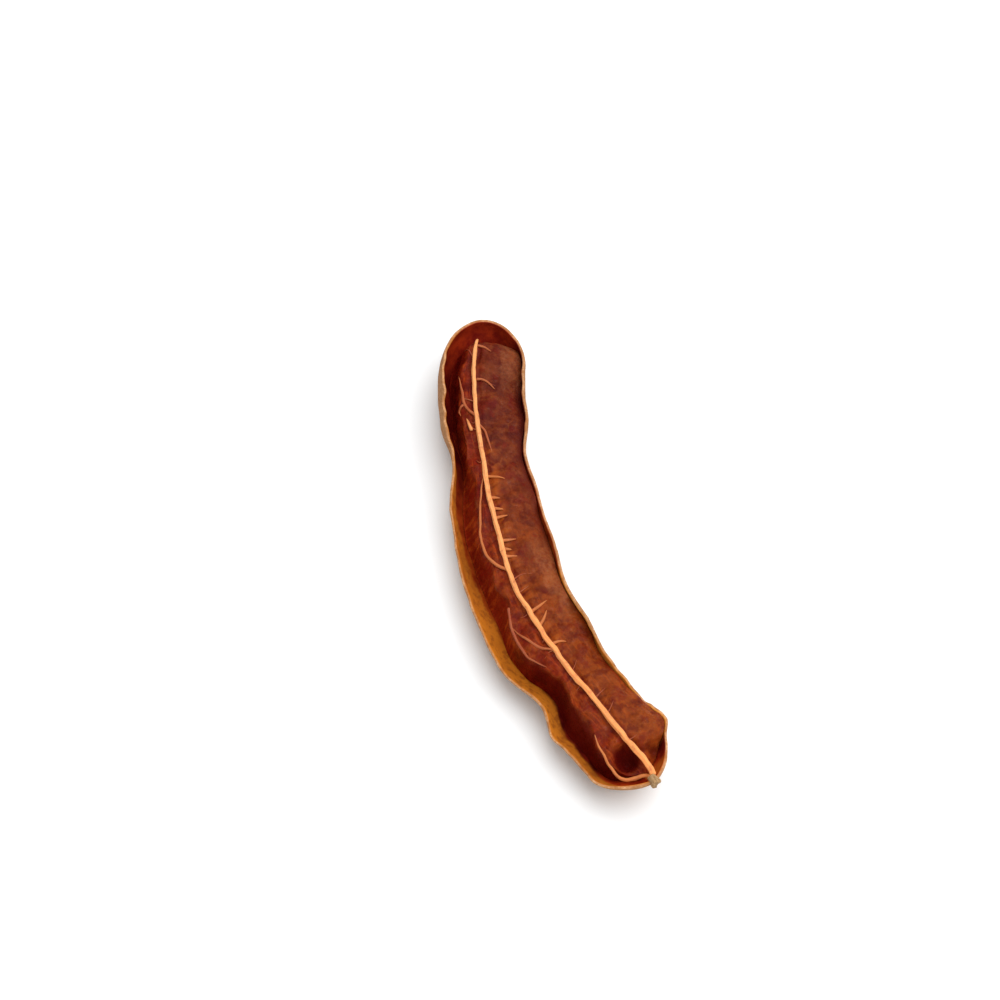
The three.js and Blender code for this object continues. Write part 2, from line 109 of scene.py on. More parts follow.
def end_shares(s, start, stop, reach):
    """How far the last stretch at each end has been entered: from 0 along the middle to 1 at the end."""
    return np.clip(1.0 - (s - start) / reach[0], 0.0, 1.0), np.clip(1.0 - (stop - s) / reach[1], 0.0, 1.0)


def lobe_ending(s, reach):
    """1 along the pod, falling to 0 at each end as a superellipse: (1 - n^p)^(1/p), where n is the share
    of the end's reach."""
    stalk, tip = end_shares(s, 0.0, POD_LENGTH, reach)
    p, q = LOBE_END_POWERS
    return (1.0 - stalk**p) ** (1.0 / p) * (1.0 - tip**q) ** (1.0 / q)


def widest_level(s):
    """Height of the widest level: constant, with a square rise at each end."""
    stalk, tip = end_shares(s, 0.0, POD_LENGTH, RISE_REACH)
    return POD_LEVEL + RISES[0] * stalk**2 + RISES[1] * tip**2


def humps(s, side, rows):
    """Sum of smooth humps, each its height times e to the minus squared distance from its middle."""
    return sum(
        height * np.exp(-(((s - at) / along) ** 2) - ((side - off) / across) ** 2)
        for at, off, height, along, across in rows
    )


def shell_surface(s, angle):
    """Outer skin: across the middle line, half an ellipse on each side, angle 0 at the keel and positive
    to the left, swollen over the seeds, and never below the table."""
    s, angle = np.broadcast_arrays(s, angle)
    left = station(LOBES, 1, s) * lobe_ending(s, LOBE_ENDS["left"])
    right = station(LOBES, 2, s) * lobe_ending(s, LOBE_ENDS["right"])
    swell = humps(s, angle * SECTION_RADIUS, [(*seed, *SHELL_SWELL) for seed in SEEDS])
    swell = swell * lobe_ending(s, LOBE_ENDS["under"])
    across = np.where(angle >= 0, left, right) + swell
    down = station(LOBES, 3, s) * lobe_ending(s, LOBE_ENDS["under"]) + swell
    height = np.maximum(widest_level(s) - down * np.cos(angle), 0.0)
    return beside_line(s, across * np.sin(angle), height)


def shell_inwards(s, angle):
    """Unit direction square to the skin, into the pod: the cross product of its two slopes."""
    at = np.clip(s, 0.05, POD_LENGTH - 0.05)
    along = shell_surface(at + 0.03, angle) - shell_surface(at - 0.03, angle)
    round_it = shell_surface(at, angle + 0.003) - shell_surface(at, angle - 0.003)
    inwards = np.cross(along, round_it)
    inwards /= np.linalg.norm(inwards, axis=-1, keepdims=True)
    h = pod_heading(s)
    ahead = np.stack(np.broadcast_arrays(np.cos(h), np.sin(h), 0.0), axis=-1)
    ahead = np.broadcast_to(ahead, inwards.shape)
    s = np.broadcast_to(s, inwards.shape[:-1])[..., None]
    return np.where(s <= 0, ahead, np.where(s >= POD_LENGTH, -ahead, inwards))


def lattice_noise(u, v, seed):
    """Soft noise from -1 to 1: random values at whole numbers of u and v, eased between four of them."""
    values = np.random.default_rng(seed).uniform(-1.0, 1.0, (128, 128))
    i, j = np.floor(u).astype(int), np.floor(v).astype(int)
    a, b = eased(0.0, 1.0, u - i), eased(0.0, 1.0, v - j)
    near = values[i % 128, j % 128] * (1 - a) + values[(i + 1) % 128, j % 128] * a
    far = values[i % 128, (j + 1) % 128] * (1 - a) + values[(i + 1) % 128, (j + 1) % 128] * a
    return near * (1 - b) + far * b


def grained(u, v, seed, layers=3):
    """Layers of lattice noise, each turned, twice as fine and half as high as the last."""
    total, height = 0.0, 1.0
    for layer in range(layers):
        total = total + height * lattice_noise(u, v, seed + layer)
        u, v = 2.03 * (0.8 * u - 0.6 * v) + 5.3, 2.03 * (0.6 * u + 0.8 * v) + 9.1
        height *= 0.5
    return total / (2.0 - 2.0 ** (1 - layers))


# Each row: at, degrees of shell left on the left and on the right of the keel.
RIM = np.array([
    [0, 92, 92], [7, 80, 76], [10.5, 76, 73], [13.5, 72, 82], [17, 74, 77], [22, 77, 78], [29, 70, 88],
    [36, 78, 97], [46, 74, 111], [55, 77, 112], [64, 78, 98], [80, 80, 94], [96, 84, 93], [108, 96, 97],
    [120, 111, 100], [132, 119, 104], [146, 114, 101], [158, 98, 98],
])
RIM_WAVES = ((1.7, 9.3, 0.4, 2.1), (1.2, 5.7, 1.9, 0.2))


def rim_angle(s, column):
    """Where the shell ends, round from the keel: the station's value plus two sine waves, plus small bites
    and teeth from noise where the brittle edge has chipped."""
    away = eased(0.0, 8.0, s) * eased(POD_LENGTH, POD_LENGTH - 8.0, s)
    waves = sum(w[0] * np.sin(2 * np.pi * s / w[1] + w[1 + column]) for w in RIM_WAVES)
    chips = 0.9 * grained(s / 1.7, np.full_like(s, column * 3.0), 31, 3)
    bites = 3.4 * np.clip(lattice_noise(s / 2.3, np.full_like(s, column * 7.0), 37) - 0.55, 0.0, 1.0)
    return np.radians(station(RIM, column, s) + (waves + chips - bites) * away)


def along_pod(count, length):
    """Places along the pod: nearly even, closer towards both ends, with three more right at each end,
    where the section shrinks fastest."""
    u = np.linspace(0.0, 1.0, count - 6)
    s = length * (0.72 * u + 0.28 * (1.0 - np.cos(np.pi * u)) / 2.0)
    first = np.array([0.02, 0.07, 0.15])
    return np.concatenate([s[:1], first, s[1:-1], length - first[::-1], s[-1:]])


def placed(name, data):
    """A new object of the scene, at the origin."""
    made = bpy.data.objects.new(name, data)
    bpy.context.scene.collection.objects.link(made)
    return made


def skin_mesh(name, rings, lengths, marks):
    """One closed mesh from rings of points in millimetres. Each ring closes on itself, four-sided faces
    join it to the next, and points that meet at the ends are merged. lengths gives each point's distance
    along and round the surface, for the UV map; marks are values kept at each point."""
    count, around = rings.shape[:2]
    place = np.arange(count * around).reshape(count, around)
    wrapped = np.roll(place, -1, axis=1)
    faces = np.stack([place[:-1], wrapped[:-1], wrapped[1:], place[1:]], axis=-1).reshape(-1, 4)
    points = rings.reshape(-1, 3) * MM
    a, b, c, d = (points[faces[:, k]] for k in range(4))
    turned = (np.einsum("ij,ij->i", a, np.cross(b, c)) + np.einsum("ij,ij->i", a, np.cross(c, d))).sum() < 0
    along, round_it = (np.broadcast_to(part, (count, around)) for part in lengths)
    ahead = np.concatenate([round_it[:, 1:], round_it[:, -1:] + np.diff(round_it[:, -2:], axis=1)], axis=1)
    u = np.stack([along[:-1], along[:-1], along[1:], along[1:]], axis=-1).reshape(-1, 4)
    v = np.stack([round_it[:-1], ahead[:-1], ahead[1:], round_it[1:]], axis=-1).reshape(-1, 4)
    if turned:
        faces, u, v = faces[:, ::-1], u[:, ::-1], v[:, ::-1]
    mesh = bpy.data.meshes.new(name)
    mesh.vertices.add(len(points))
    mesh.vertices.foreach_set("co", points.ravel())
    mesh.loops.add(faces.size)
    mesh.loops.foreach_set("vertex_index", faces.ravel())
    mesh.polygons.add(len(faces))
    mesh.polygons.foreach_set("loop_start", np.arange(len(faces)) * 4)
    mesh.update(calc_edges=True)
    chart = mesh.uv_layers.new(name="lengths")
    chart.data.foreach_set("uv", np.stack([u, v], axis=-1).ravel() * 0.01)
    for mark, values in marks.items():
        layer = mesh.attributes.new(mark, "FLOAT", "POINT")
        layer.data.foreach_set("value", np.broadcast_to(values, (count, around)).ravel().astype(np.float32))
    work = bmesh.new()
    work.from_mesh(mesh)
    work.verts.ensure_lookup_table()
    ends = [work.verts[i] for i in [*range(around * 2), *range(around * (count - 2), around * count)]]
    bmesh.ops.remove_doubles(work, verts=ends, dist=2e-6)
    work.to_mesh(mesh)
    work.free()
    mesh.shade_smooth()
    return placed(name, mesh)


# The middle line is moved so that the shell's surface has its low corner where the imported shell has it.
plain_s = np.linspace(0.0, POD_LENGTH, 320)[:, None]
plain_reach = np.radians(station(RIM, 1, plain_s)), np.radians(station(RIM, 2, plain_s))
plain_skin = shell_surface(plain_s, -plain_reach[1] + sum(plain_reach) * np.linspace(0.0, 1.0, 60)[None])
packed_low = np.array(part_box("shell")[0]) / MM
line_x += packed_low[0] - plain_skin[..., 0].min()
line_y += packed_low[1] - plain_skin[..., 1].min()

SHELL_RINGS, OUTER_POINTS, EDGE_POINTS, INNER_POINTS = 430, 108, 5, 86
shell_s = along_pod(SHELL_RINGS, POD_LENGTH)[:, None]
shell_left = rim_angle(shell_s, 1)
shell_right = -rim_angle(shell_s, 2)

out_share = np.linspace(0.0, 1.0, OUTER_POINTS)[None, :]
out_angle = shell_right + (shell_left - shell_right) * out_share
out_round = out_angle * SECTION_RADIUS
skin_relief = (
    0.16 * grained(shell_s / 9.0, out_round / 7.0, 1, 2)
    + 0.07 * grained(shell_s / 2.6, out_round / 1.9, 5, 3)
    + 0.03 * grained(shell_s / 3.5, out_round / 0.7, 9, 2)
)
ends_smooth = lobe_ending(shell_s, LOBE_ENDS["under"])
outside = shell_surface(shell_s, out_angle)
outside = outside - shell_inwards(shell_s, out_angle) * (skin_relief * ends_smooth)[..., None]
outside[..., 2] = np.maximum(outside[..., 2], 0.0)

in_share = np.linspace(1.0, 0.0, INNER_POINTS)[None, :]
in_angle = shell_right + (shell_left - shell_right) * in_share
in_round = in_angle * SECTION_RADIUS
lining_relief = 0.05 * grained(shell_s / 6.0, in_round / 0.8, 13, 2)
lining_relief += 0.04 * grained(shell_s / 2.2, in_round / 1.8, 17, 3)
thinned = 0.22 * np.exp(-((np.minimum(in_share, 1.0 - in_share) / 0.02) ** 2))
thinned = thinned * eased(0.0, 2.0, ends_smooth)
lining_depth = SHELL_WALL - thinned + lining_relief * ends_smooth
inside = shell_surface(shell_s, in_angle)
inside = inside + shell_inwards(shell_s, in_angle) * lining_depth[..., None]


def broken_edge(first, last, outwards, seed):
    """Rings across the broken edge, from first to last: a straight blend, pushed out by a half sine and
    by noise, because the edge tears unevenly through its layers."""
    share = np.array([0.12, 0.3, 0.5, 0.7, 0.88])[None, :, None]
    way = outwards / np.maximum(np.linalg.norm(outwards, axis=-1, keepdims=True), 1e-9)
    rough = 0.5 + 0.5 * grained(shell_s / 0.9, share[..., 0] * 2.0, seed, 2)
    bulge = (0.1 + 0.16 * rough)[..., None] * np.sin(np.pi * share) * ends_smooth[..., None]
    return first[:, None] * (1 - share) + last[:, None] * share + way[:, None] * bulge


left_edge = broken_edge(outside[:, -1], inside[:, 0], outside[:, -1] - outside[:, -3], 41)
right_edge = broken_edge(inside[:, -1], outside[:, 0], outside[:, 0] - outside[:, 2], 47)
shell_rings = np.concatenate([outside, left_edge, inside, right_edge], axis=1)

edge_row = np.ones((1, EDGE_POINTS))
shell_angle = np.concatenate([out_angle, shell_left * edge_row, in_angle, shell_right * edge_row], axis=1)
# 0 on the outside and 1 on the inside, with the layers of the broken edge between them.
torn_layers = np.linspace(0.2, 0.8, EDGE_POINTS)
shell_depth = [np.zeros(OUTER_POINTS), torn_layers, np.ones(INNER_POINTS), torn_layers[::-1]]
shell_depth = np.concatenate(shell_depth)


def shrunk_right(s):
    """Share, from 0.1 to 1, by which the pulp has drawn back from the right wall: only past the waist. It
    sets the strength of the painted shade in the crease there.
    """
    return 0.1 + 0.9 * eased(70.0, 80.0, s) * eased(142.0, 134.0, s)


# Each row: at, degrees up the left wall to which pulp has stained it.
STAIN = np.array([
    [0, 46], [16, 48], [24, 43], [32, 38], [40, 30], [47, 24], [54, 33], [62, 36], [72, 42], [80, 50],
    [90, 61], [98, 63], [106, 75], [112, 85], [121, 95], [130, 100], [142, 105], [158, 105],
])
stain_line = np.radians(station(STAIN, 1, shell_s) + 5.0 * grained(shell_s / 4.0, shell_angle * 6.0, 53, 3))
shell_stain_and_painted_light = eased(0.07, -0.05, shell_angle - stain_line)
# The right wall is stained past the waist and clean on the stalk's side, marked by values below zero, which
# also paint the clean lining brighter: painted light on a wall that lies in shade.
clean_painted_light_right = eased(74.0, 62.0, shell_s) * eased(8.0, 14.0, shell_s) + 0.3 * eased(5.5, 3.5, shell_s)
shell_stain_and_painted_light = np.where(shell_angle < 0, 1.0 - 1.9 * clean_painted_light_right, shell_stain_and_painted_light)

shell = skin_mesh(
    "shell_skin", shell_rings, (shell_s, shell_angle * SECTION_RADIUS),
    {"depth": shell_depth, "stain": shell_stain_and_painted_light},
)


def add_node(tree, kind, sockets=(), **settings):
    """A new shader node. Each socket given gets a constant or another node's output."""
    made = tree.nodes.new("ShaderNode" + kind)
    for key, value in settings.items():
        setattr(made, key, value)
    for key, value in dict(sockets).items():
        if isinstance(value, bpy.types.NodeSocket):
            tree.links.new(value, made.inputs[key])
        else:
            made.inputs[key].default_value = value
    return made


def maths(operation, a, b):
    """One sum on two values, in the tree that they come from, as a node's output."""
    tree = (a if isinstance(a, bpy.types.NodeSocket) else b).id_data
    return add_node(tree, "Math", {0: a, 1: b}, operation=operation).outputs[0]


def tinted(share, under, over):
    """One colour laid over another by a share, as a node's output."""
    under, over = (c if isinstance(c, bpy.types.NodeSocket) else (*c, 1.0) for c in (under, over))
    return add_node(share.id_data, "Mix", {0: share, 6: under, 7: over}, data_type="RGBA").outputs[2]


def layered(under, layers):
    """Colours laid over the first in turn, each by its share times its strength."""
    for share, strength, over in layers:
        share = share if strength == 1 else maths("MULTIPLY", share, strength)
        under = tinted(share, under, over)
    return under


def ramped(value, low, high, start=0.0, end=1.0):
    """A value carried smoothly from start at low to end at high, as a node's output."""
    sockets = {"Value": value, "From Min": low, "From Max": high, "To Min": start, "To Max": end}
    return add_node(value.id_data, "MapRange", sockets, interpolation_type="SMOOTHSTEP").outputs[0]


def effect_group(name, inputs, outputs):
    """A node group for a shared effect, with its sockets' names in two lists: all numbers but Vector."""
    group = bpy.data.node_groups.new(name, "ShaderNodeTree")
    for labels, way in ((inputs, "INPUT"), (outputs, "OUTPUT")):
        for label in labels.split():
            kind = "NodeSocketVector" if label == "Vector" else "NodeSocketFloat"
            group.interface.new_socket(name=label, in_out=way, socket_type=kind)
    return group, group.nodes.new("NodeGroupInput").outputs, group.nodes.new("NodeGroupOutput").inputs


# Mottling: soft noise of a given size in millimetres, sharpened to a mask.
mottle_group, given, result = effect_group("mottling", "Vector Size Detail Low High", "Mask Noise")
mottle_noise = add_node(mottle_group, "TexNoise", {
    "Vector": given["Vector"], "Scale": maths("DIVIDE", 1000.0, given["Size"]),
    "Detail": given["Detail"], "Roughness": 0.6,
}).outputs[0]
mottle_group.links.new(ramped(mottle_noise, given["Low"], given["High"]), result["Mask"])
mottle_group.links.new(mottle_noise, result["Noise"])

# Fibres: noise drawn out along the first direction of a map in units of 100 mm.
fibre_group, given, result = effect_group("fibres", "Vector Along Across Low High", "Mask Noise")
fibre_scale = add_node(fibre_group, "CombineXYZ", {
    0: maths("DIVIDE", 100.0, given["Along"]),
    1: maths("DIVIDE", 100.0, given["Across"]), 2: 1.0,
}).outputs[0]
fibre_place = add_node(
    fibre_group, "VectorMath", {0: given["Vector"], 1: fibre_scale}, operation="MULTIPLY"
).outputs[0]
fibre_noise = add_node(
    fibre_group, "TexNoise", {"Vector": fibre_place, "Scale": 1.0, "Detail": 4.0, "Roughness": 0.62}
).outputs[0]
fibre_group.links.new(ramped(fibre_noise, given["Low"], given["High"]), result["Mask"])
fibre_group.links.new(fibre_noise, result["Noise"])

# Specks: small scattered dots, each the middle of one cell of a cellular pattern.
speck_group, given, result = effect_group("specks", "Vector Size Spread", "Mask")
speck_cells = add_node(speck_group, "TexVoronoi", {
    "Vector": given["Vector"], "Scale": maths("DIVIDE", 1000.0, given["Size"]),
})
speck_chosen = add_node(speck_group, "SeparateColor", {0: speck_cells.outputs["Color"]}).outputs[0]
speck_radius = maths("MULTIPLY", speck_chosen, given["Spread"])
speck_mask = ramped(speck_cells.outputs["Distance"], speck_radius, 0.0)
speck_group.links.new(speck_mask, result["Mask"])

# Webs: thin lines where a cellular pattern's cells meet, bent by noise.
web_group, given, result = effect_group("webs", "Vector Size Width", "Mask")
web_scale = maths("DIVIDE", 1000.0, given["Size"])
web_noise = add_node(web_group, "TexNoise", {"Vector": given["Vector"], "Scale": web_scale, "Detail": 3.0})
web_bend = (0.0016, 0.0016, 0.0016)
web_place = {0: web_noise.outputs[1], 1: web_bend, 2: given["Vector"]}
web_place = add_node(web_group, "VectorMath", web_place, operation="MULTIPLY_ADD").outputs[0]
web_cells = add_node(
    web_group, "TexVoronoi", {"Vector": web_place, "Scale": web_scale}, feature="DISTANCE_TO_EDGE"
)
fade_scale = maths("MULTIPLY", web_scale, 0.4)
web_fade = add_node(web_group, "TexNoise", {"Vector": given["Vector"], "Scale": fade_scale}).outputs[0]
web_lines = ramped(web_cells.outputs["Distance"], given["Width"], 0.0)
web_mask = maths("MULTIPLY", web_lines, ramped(web_fade, 0.42, 0.62))
web_group.links.new(web_mask, result["Mask"])


def effect(group, where, **sockets):
    """Places an effect group in a material with that material's own values."""
    return add_node(where.id_data, "Group", {"Vector": where, **sockets}, node_tree=group).outputs


def mottled(where, size, detail, low, high):
    """Mottling of a size in millimetres, sharpened between low and high."""
    return effect(mottle_group, where, Size=size, Detail=detail, Low=low, High=high)


def fibrous(lengths, along, across, low, high):
    """Fibres of a length and width in millimetres, sharpened between low and high."""
    return effect(fibre_group, lengths, Along=along, Across=across, Low=low, High=high)


def new_finish(name, **fixed):
    """A material with a Principled shader whose constant sockets are set on the shader itself."""
    finish = bpy.data.materials.new(name)
    finish.use_nodes = True
    shader = finish.node_tree.nodes["Principled BSDF"]
    for key, value in fixed.items():
        shader.inputs[key.replace("_", " ")].default_value = value
    return finish, finish.node_tree, shader


def places(tree):
    """The place in the object, the lengths on the surface, and the place along the pod."""
    where = add_node(tree, "TexCoord").outputs["Object"]
    lengths = add_node(tree, "UVMap", uv_map="lengths").outputs[0]
    return where, lengths, add_node(tree, "SeparateXYZ", {0: where}).outputs[0]


def marked(tree, mark):
    """A value kept at the mesh's points."""
    return add_node(tree, "Attribute", attribute_name=mark).outputs["Fac"]


def raised(shader, height, depth):
    """Bump in millimetres from a height mask, into the shader's normal."""
    bump = add_node(height.id_data, "Bump", {"Height": height, "Distance": depth * MM, "Strength": 1.0})
    height.id_data.links.new(bump.outputs[0], shader.inputs["Normal"])


# Finish: scurfy cinnamon tan outside, ochre and faintly fibrous inside with pulp stuck to it lower down,
# pale and ragged along the break.
shell_finish, tree, shader = new_finish("shell_skin", IOR=1.45, Specular_IOR_Level=0.12)
where, lengths, along = places(tree)
depth, stain = marked(tree, "depth"), marked(tree, "stain")
broad = mottled(where, 14.0, 3.0, 0.35, 0.66)["Mask"]
cloud = mottled(where, 3.2, 6.0, 0.36, 0.64)["Mask"]
scurf = mottled(where, 0.55, 4.0, 0.4, 0.66)
patch = mottled(where, 5.0, 5.0, 0.33, 0.66)["Mask"]
worn = mottled(where, 2.0, 5.0, 0.46, 0.64)["Mask"]
dots = effect(speck_group, where, Size=2.6, Spread=0.2)["Mask"]
fine_dots = effect(speck_group, where, Size=0.9, Spread=0.3)["Mask"]
threads = fibrous(lengths, 14.0, 0.7, 0.36, 0.68)

skin = layered(tinted(broad, (0.34, 0.15, 0.056), (0.44, 0.212, 0.088)), [
    (cloud, 0.5, (0.29, 0.118, 0.04)),
    # Painted shade: the skin is darker towards the tip.
    (ramped(along, 0.02, 0.06), 0.6, (0.25, 0.095, 0.034)),
    (scurf["Mask"], 0.4, (0.58, 0.33, 0.17)),
    (fine_dots, 0.35, (0.26, 0.11, 0.04)),
    (dots, 0.6, (0.13, 0.05, 0.02)),
])
# Where pulp has stained it the lining is red, darker towards both ends, and redder again in the very tips.
# At the stalk end that red is brighter: painted light on a wall that lies in deep shade.
tip = tinted(patch, (0.16, 0.006, 0.003), (0.35, 0.029, 0.006))
stalk_red_painted_light = tinted(patch, (0.26, 0.012, 0.003), (0.58, 0.06, 0.008))
stained_ends = layered(tinted(patch, (0.07, 0.002, 0.002), (0.18, 0.01, 0.004)), [
    (ramped(along, 0.062, 0.073), 1, tip),
    (ramped(along, -0.064, -0.072), 1, stalk_red_painted_light),
])
endward = maths("MAXIMUM", ramped(along, 0.005, 0.04), ramped(along, -0.022, -0.042))
stained = tinted(patch, (0.2, 0.014, 0.003), (0.38, 0.06, 0.007))
stained = tinted(endward, stained, stained_ends)
stain_share = maths("MAXIMUM", stain, 0.0)
lining = layered(tinted(patch, (0.38, 0.09, 0.006), (0.53, 0.155, 0.01)), [
    (threads["Mask"], 0.3, (0.5, 0.19, 0.03)),
    (ramped(along, -0.002, -0.016), 0.4, (0.74, 0.24, 0.015)),
    (worn, 0.55, (0.22, 0.045, 0.006)),
    (ramped(along, -0.052, -0.07), 0.35, (0.38, 0.085, 0.01)),
    # Painted light: where the right wall is clean its lining is a brighter ochre, though the wall lies in
    # shade.
    (ramped(stain, 0.0, -0.9), 1, (0.7, 0.24, 0.03)),
    (stain_share, 1, stained),
])
edge = layered(tinted(scurf["Mask"], (0.5, 0.235, 0.1), (0.66, 0.38, 0.2)), [
    (cloud, 0.75, (0.3, 0.11, 0.03)),
])
inner, outer = ramped(depth, 0.5, 0.92), ramped(depth, 0.16, 0.0)
colour = layered(edge, [(inner, 1, lining), (outer, 1, skin)])
tree.links.new(colour, shader.inputs["Base Color"])
sticky = maths("MULTIPLY", stain_share, inner)
tree.links.new(ramped(sticky, 0.0, 1.0, 0.78, 0.42), shader.inputs["Roughness"])
scurfy = maths("MULTIPLY", scurf["Noise"], 0.6)
rough_skin = maths("ADD", scurfy, maths("MULTIPLY", dots, -0.5))
rough_skin = maths("MULTIPLY", rough_skin, outer)
rough_lining = maths("MULTIPLY", threads["Noise"], inner)
raised(shader, maths("ADD", rough_skin, rough_lining), 0.12)
shell.data.materials.append(shell_finish)

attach(shell, "root")
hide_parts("shell")


# ---- Pulp ----
# The sticky brown pulp that fills the pod round its seeds. It grew in one piece, has shrunk away from the
# left wall as it ripened, and clings to the keel and the right wall of the shell.

PULP_GAP = 0.3
# Each row: at, degrees up the left wall and up the right wall, the crest's height above the widest level,
# and its distance left of the line.
PULP = np.array([
    [0, 38, 56, -1, -1.5], [7.5, 40, 66, 0.2, -1.8], [11, 40, 84, 0.8, -1.7], [16, 41, 80, 1.5, -1.6],
    [24, 37, 84, 1.9, -1.4], [32, 34, 87, 2, -1.3], [40, 29, 86, 1.8, -1.2], [47, 36, 94, 2, -1.1],
    [54, 41, 97, 2, -0.8], [62, 35, 96, 2, -0.4], [72, 38, 86, 2, 0.4], [80, 42, 81, 2, 0.5],
    [90, 52, 82, 2, 0.6], [98, 50, 90, 2.1, 1], [112, 53, 90, 2.4, 1.2], [121, 54, 88, 2.5, 1.6],
    [130, 51, 82, 2.6, 1.8], [142, 56, 90, 3, 2], [158, 60, 90, 3, 1.8],
])
# Each row: at, shoulder left of the line, from which the pulp falls steeply to the left wall.
PULP_SHOULDER = np.array([
    [0, 3], [7, 6.6], [15, 6.3], [24, 3.6], [31, 4], [37, 1.6], [41, 3], [44, 4.8], [47, 6],
    [52, 6.8], [57, 6.2], [61, 4.8], [65, 3.2], [71, 5.4], [75, 4.2], [82, 6], [90, 5], [102, 4],
    [110, 5.6], [119, 6], [127, 6.3], [138, 6], [146, 3.5], [158, 2],
])
PULP_START, PULP_STOP = 3.4, POD_LENGTH - 5.0
PULP_REACH, PULP_END_POWER = (11.0, 7.0), 2.2
PULP_FALL = 3.0
PULP_SWELL = (0.8, 5.2, 5.5)
PULP_RIPPLES = ((0.25, 13.7, 9.1, 0.6), (0.2, 7.9, 17.3, 2.4))
# Hollows at the stalk, each: at, left of the line, depth, reach along, reach across.
HOLLOWS = ((9.5, 1.6, 6.5, 3.0, 3.0), (7.6, -6.3, 2.8, 1.8, 1.9))


def pulp_ending(s):
    """Share of the full section: the root of 1 - n^p at each end, where n is the share of its reach."""
    stalk, tip = end_shares(s, PULP_START, PULP_STOP, PULP_REACH)
    return np.sqrt((1.0 - stalk**PULP_END_POWER) * (1.0 - tip**PULP_END_POWER))


def pulp_under(s, share):
    """Skin against the shell, from share 0 at the right edge to 1 at the left: the shell's surface moved
    inwards by its wall and a hair's gap."""
    s, share = np.broadcast_arrays(s, share)
    left = np.radians(station(PULP, 1, s)) * pulp_ending(s)
    right = np.radians(station(PULP, 2, s)) * pulp_ending(s)
    angle = -right + (left + right) * share
    return shell_surface(s, angle) + shell_inwards(s, angle) * (SHELL_WALL + PULP_GAP)


def side_of(points, s):
    """Distance left of the middle line: the offset from it along the direction square to its heading."""
    base, h = beside_line(s, 0.0, 0.0), pod_heading(s)
    return -(points[..., 0] - base[..., 0]) * np.sin(h) + (points[..., 1] - base[..., 1]) * np.cos(h)


def pulp_top(s, share):
    """Open top between the same edges. From the crest it falls by the cube of the way to the right edge;
    to the left it sinks by a tenth of the square of the way, and past the shoulder eases down to the left
    edge. It swells over the seeds, ripples by two sines, and is hollow beside the string at the stalk."""
    s, share = np.broadcast_arrays(s, share)
    right, left = pulp_under(s, np.zeros_like(s)), pulp_under(s, np.ones_like(s))
    ending = pulp_ending(s)
    right_side, left_side = side_of(right, s), side_of(left, s)
    width = np.maximum(left_side - right_side, 1e-6)
    crest_share = (station(PULP, 4, s) * ending - right_side) / width
    leftward = share > crest_share
    away = np.where(
        leftward, (share - crest_share) / np.maximum(1 - crest_share, 1e-6),
        1 - share / np.maximum(crest_share, 1e-6),
    )
    away = np.clip(away, 0.0, 1.0)
    shoulder = (station(PULP_SHOULDER, 1, s) * ending - right_side) / width
    shoulder = np.clip((shoulder - crest_share) / np.maximum(1 - crest_share, 1e-6), 0.1, 0.88)
    fall = 0.1 * away**2 + 0.9 * eased(shoulder, 1.0, away)
    level = 1.0 - np.where(leftward, fall, away**PULP_FALL)
    edge = np.where(leftward, left[..., 2], right[..., 2])
    keel = pulp_under(s, np.full_like(s, 0.5))[..., 2]
    points = right * (1 - share[..., None]) + left * share[..., None]
    side = side_of(points, s)
    ripple = sum(h * np.sin(2 * np.pi * (s / a + side / b) + c) for h, a, b, c in PULP_RIPPLES)
    swell = humps(s, side, [(*seed, *PULP_SWELL) for seed in SEEDS])
    relief = (swell + ripple - humps(s, side, HOLLOWS)) * ending
    top = keel + (widest_level(s) + station(PULP, 3, s) - keel) * ending + relief
    points[..., 2] = edge + (np.maximum(top, edge) - edge) * level
    return points, side, level


def pulp_height(s, side):
    """Height of the open top at a distance left of the middle line."""
    right = side_of(pulp_under(s, np.zeros_like(s)), s)
    left = side_of(pulp_under(s, np.ones_like(s)), s)
    return pulp_top(s, np.clip((side - right) / (left - right), 0.0, 1.0))[0][..., 2]


# Strings lie over the pulp. Each has its radius at both ends, its tone, from 0 red to 1 pale, and its
# knots: distance from the stalk, distance left of the middle line and, where the string hangs free, a
# height above the widest level. The pulp is creased along the main one.
LIES = np.nan
STRINGS = {
    "main": (0.9, 0.62, 1, [
        [1.4, -0.7, 0.3], [4, -1.2, 1], [8, -1.2, 1.7], [12.5, -0.9, 2.3], [16, -0.9], [22, -1],
        [34, -0.9], [46, -0.7], [57, -0.3], [66, 0.6], [76, 0.9], [86, 0.9], [98, 1.6], [112, 1.6],
        [122, 2.1], [133, 2.4], [142, 2.4], [148, 1.9], [151, 1.5],
    ]),
}


def knotted(rows):
    """Knots as an array of three columns: where no height is given the string lies on the pulp."""
    return np.array([[*row, LIES][:3] for row in rows])


main_knots = knotted(STRINGS["main"][3])


def pulp_relief(s, side):
    """Fine relief on the pulp, in millimetres: ribs that run sideways from the main string, soft lumps of
    two sizes, sunk pits, and a crease on each side of the main string."""
    from_main = side - np.interp(s, main_knots[:, 0], main_knots[:, 1])
    off = np.abs(from_main)
    slant = s + 0.45 * off
    ribs = 1.0 - np.abs(grained(slant / 2.4, from_main / 7.5, 61, 3)) * 2.2
    lumps = 0.34 * grained(s / 4.2, side / 3.4, 67, 2) + 0.16 * grained(s / 1.5, side / 1.3, 71, 3)
    pits = -0.3 * np.clip(grained(s / 3.1, side / 2.3, 73, 2) - 0.38, 0.0, 1.0)
    crease = -0.35 * np.exp(-(((off - 1.35) / 0.5) ** 2)) * (0.6 + 0.4 * grained(s / 3.0, from_main, 79, 2))
    clear = eased(0.7, 2.2, off)
    return (0.2 * ribs + lumps + pits) * clear + crease - 0.1


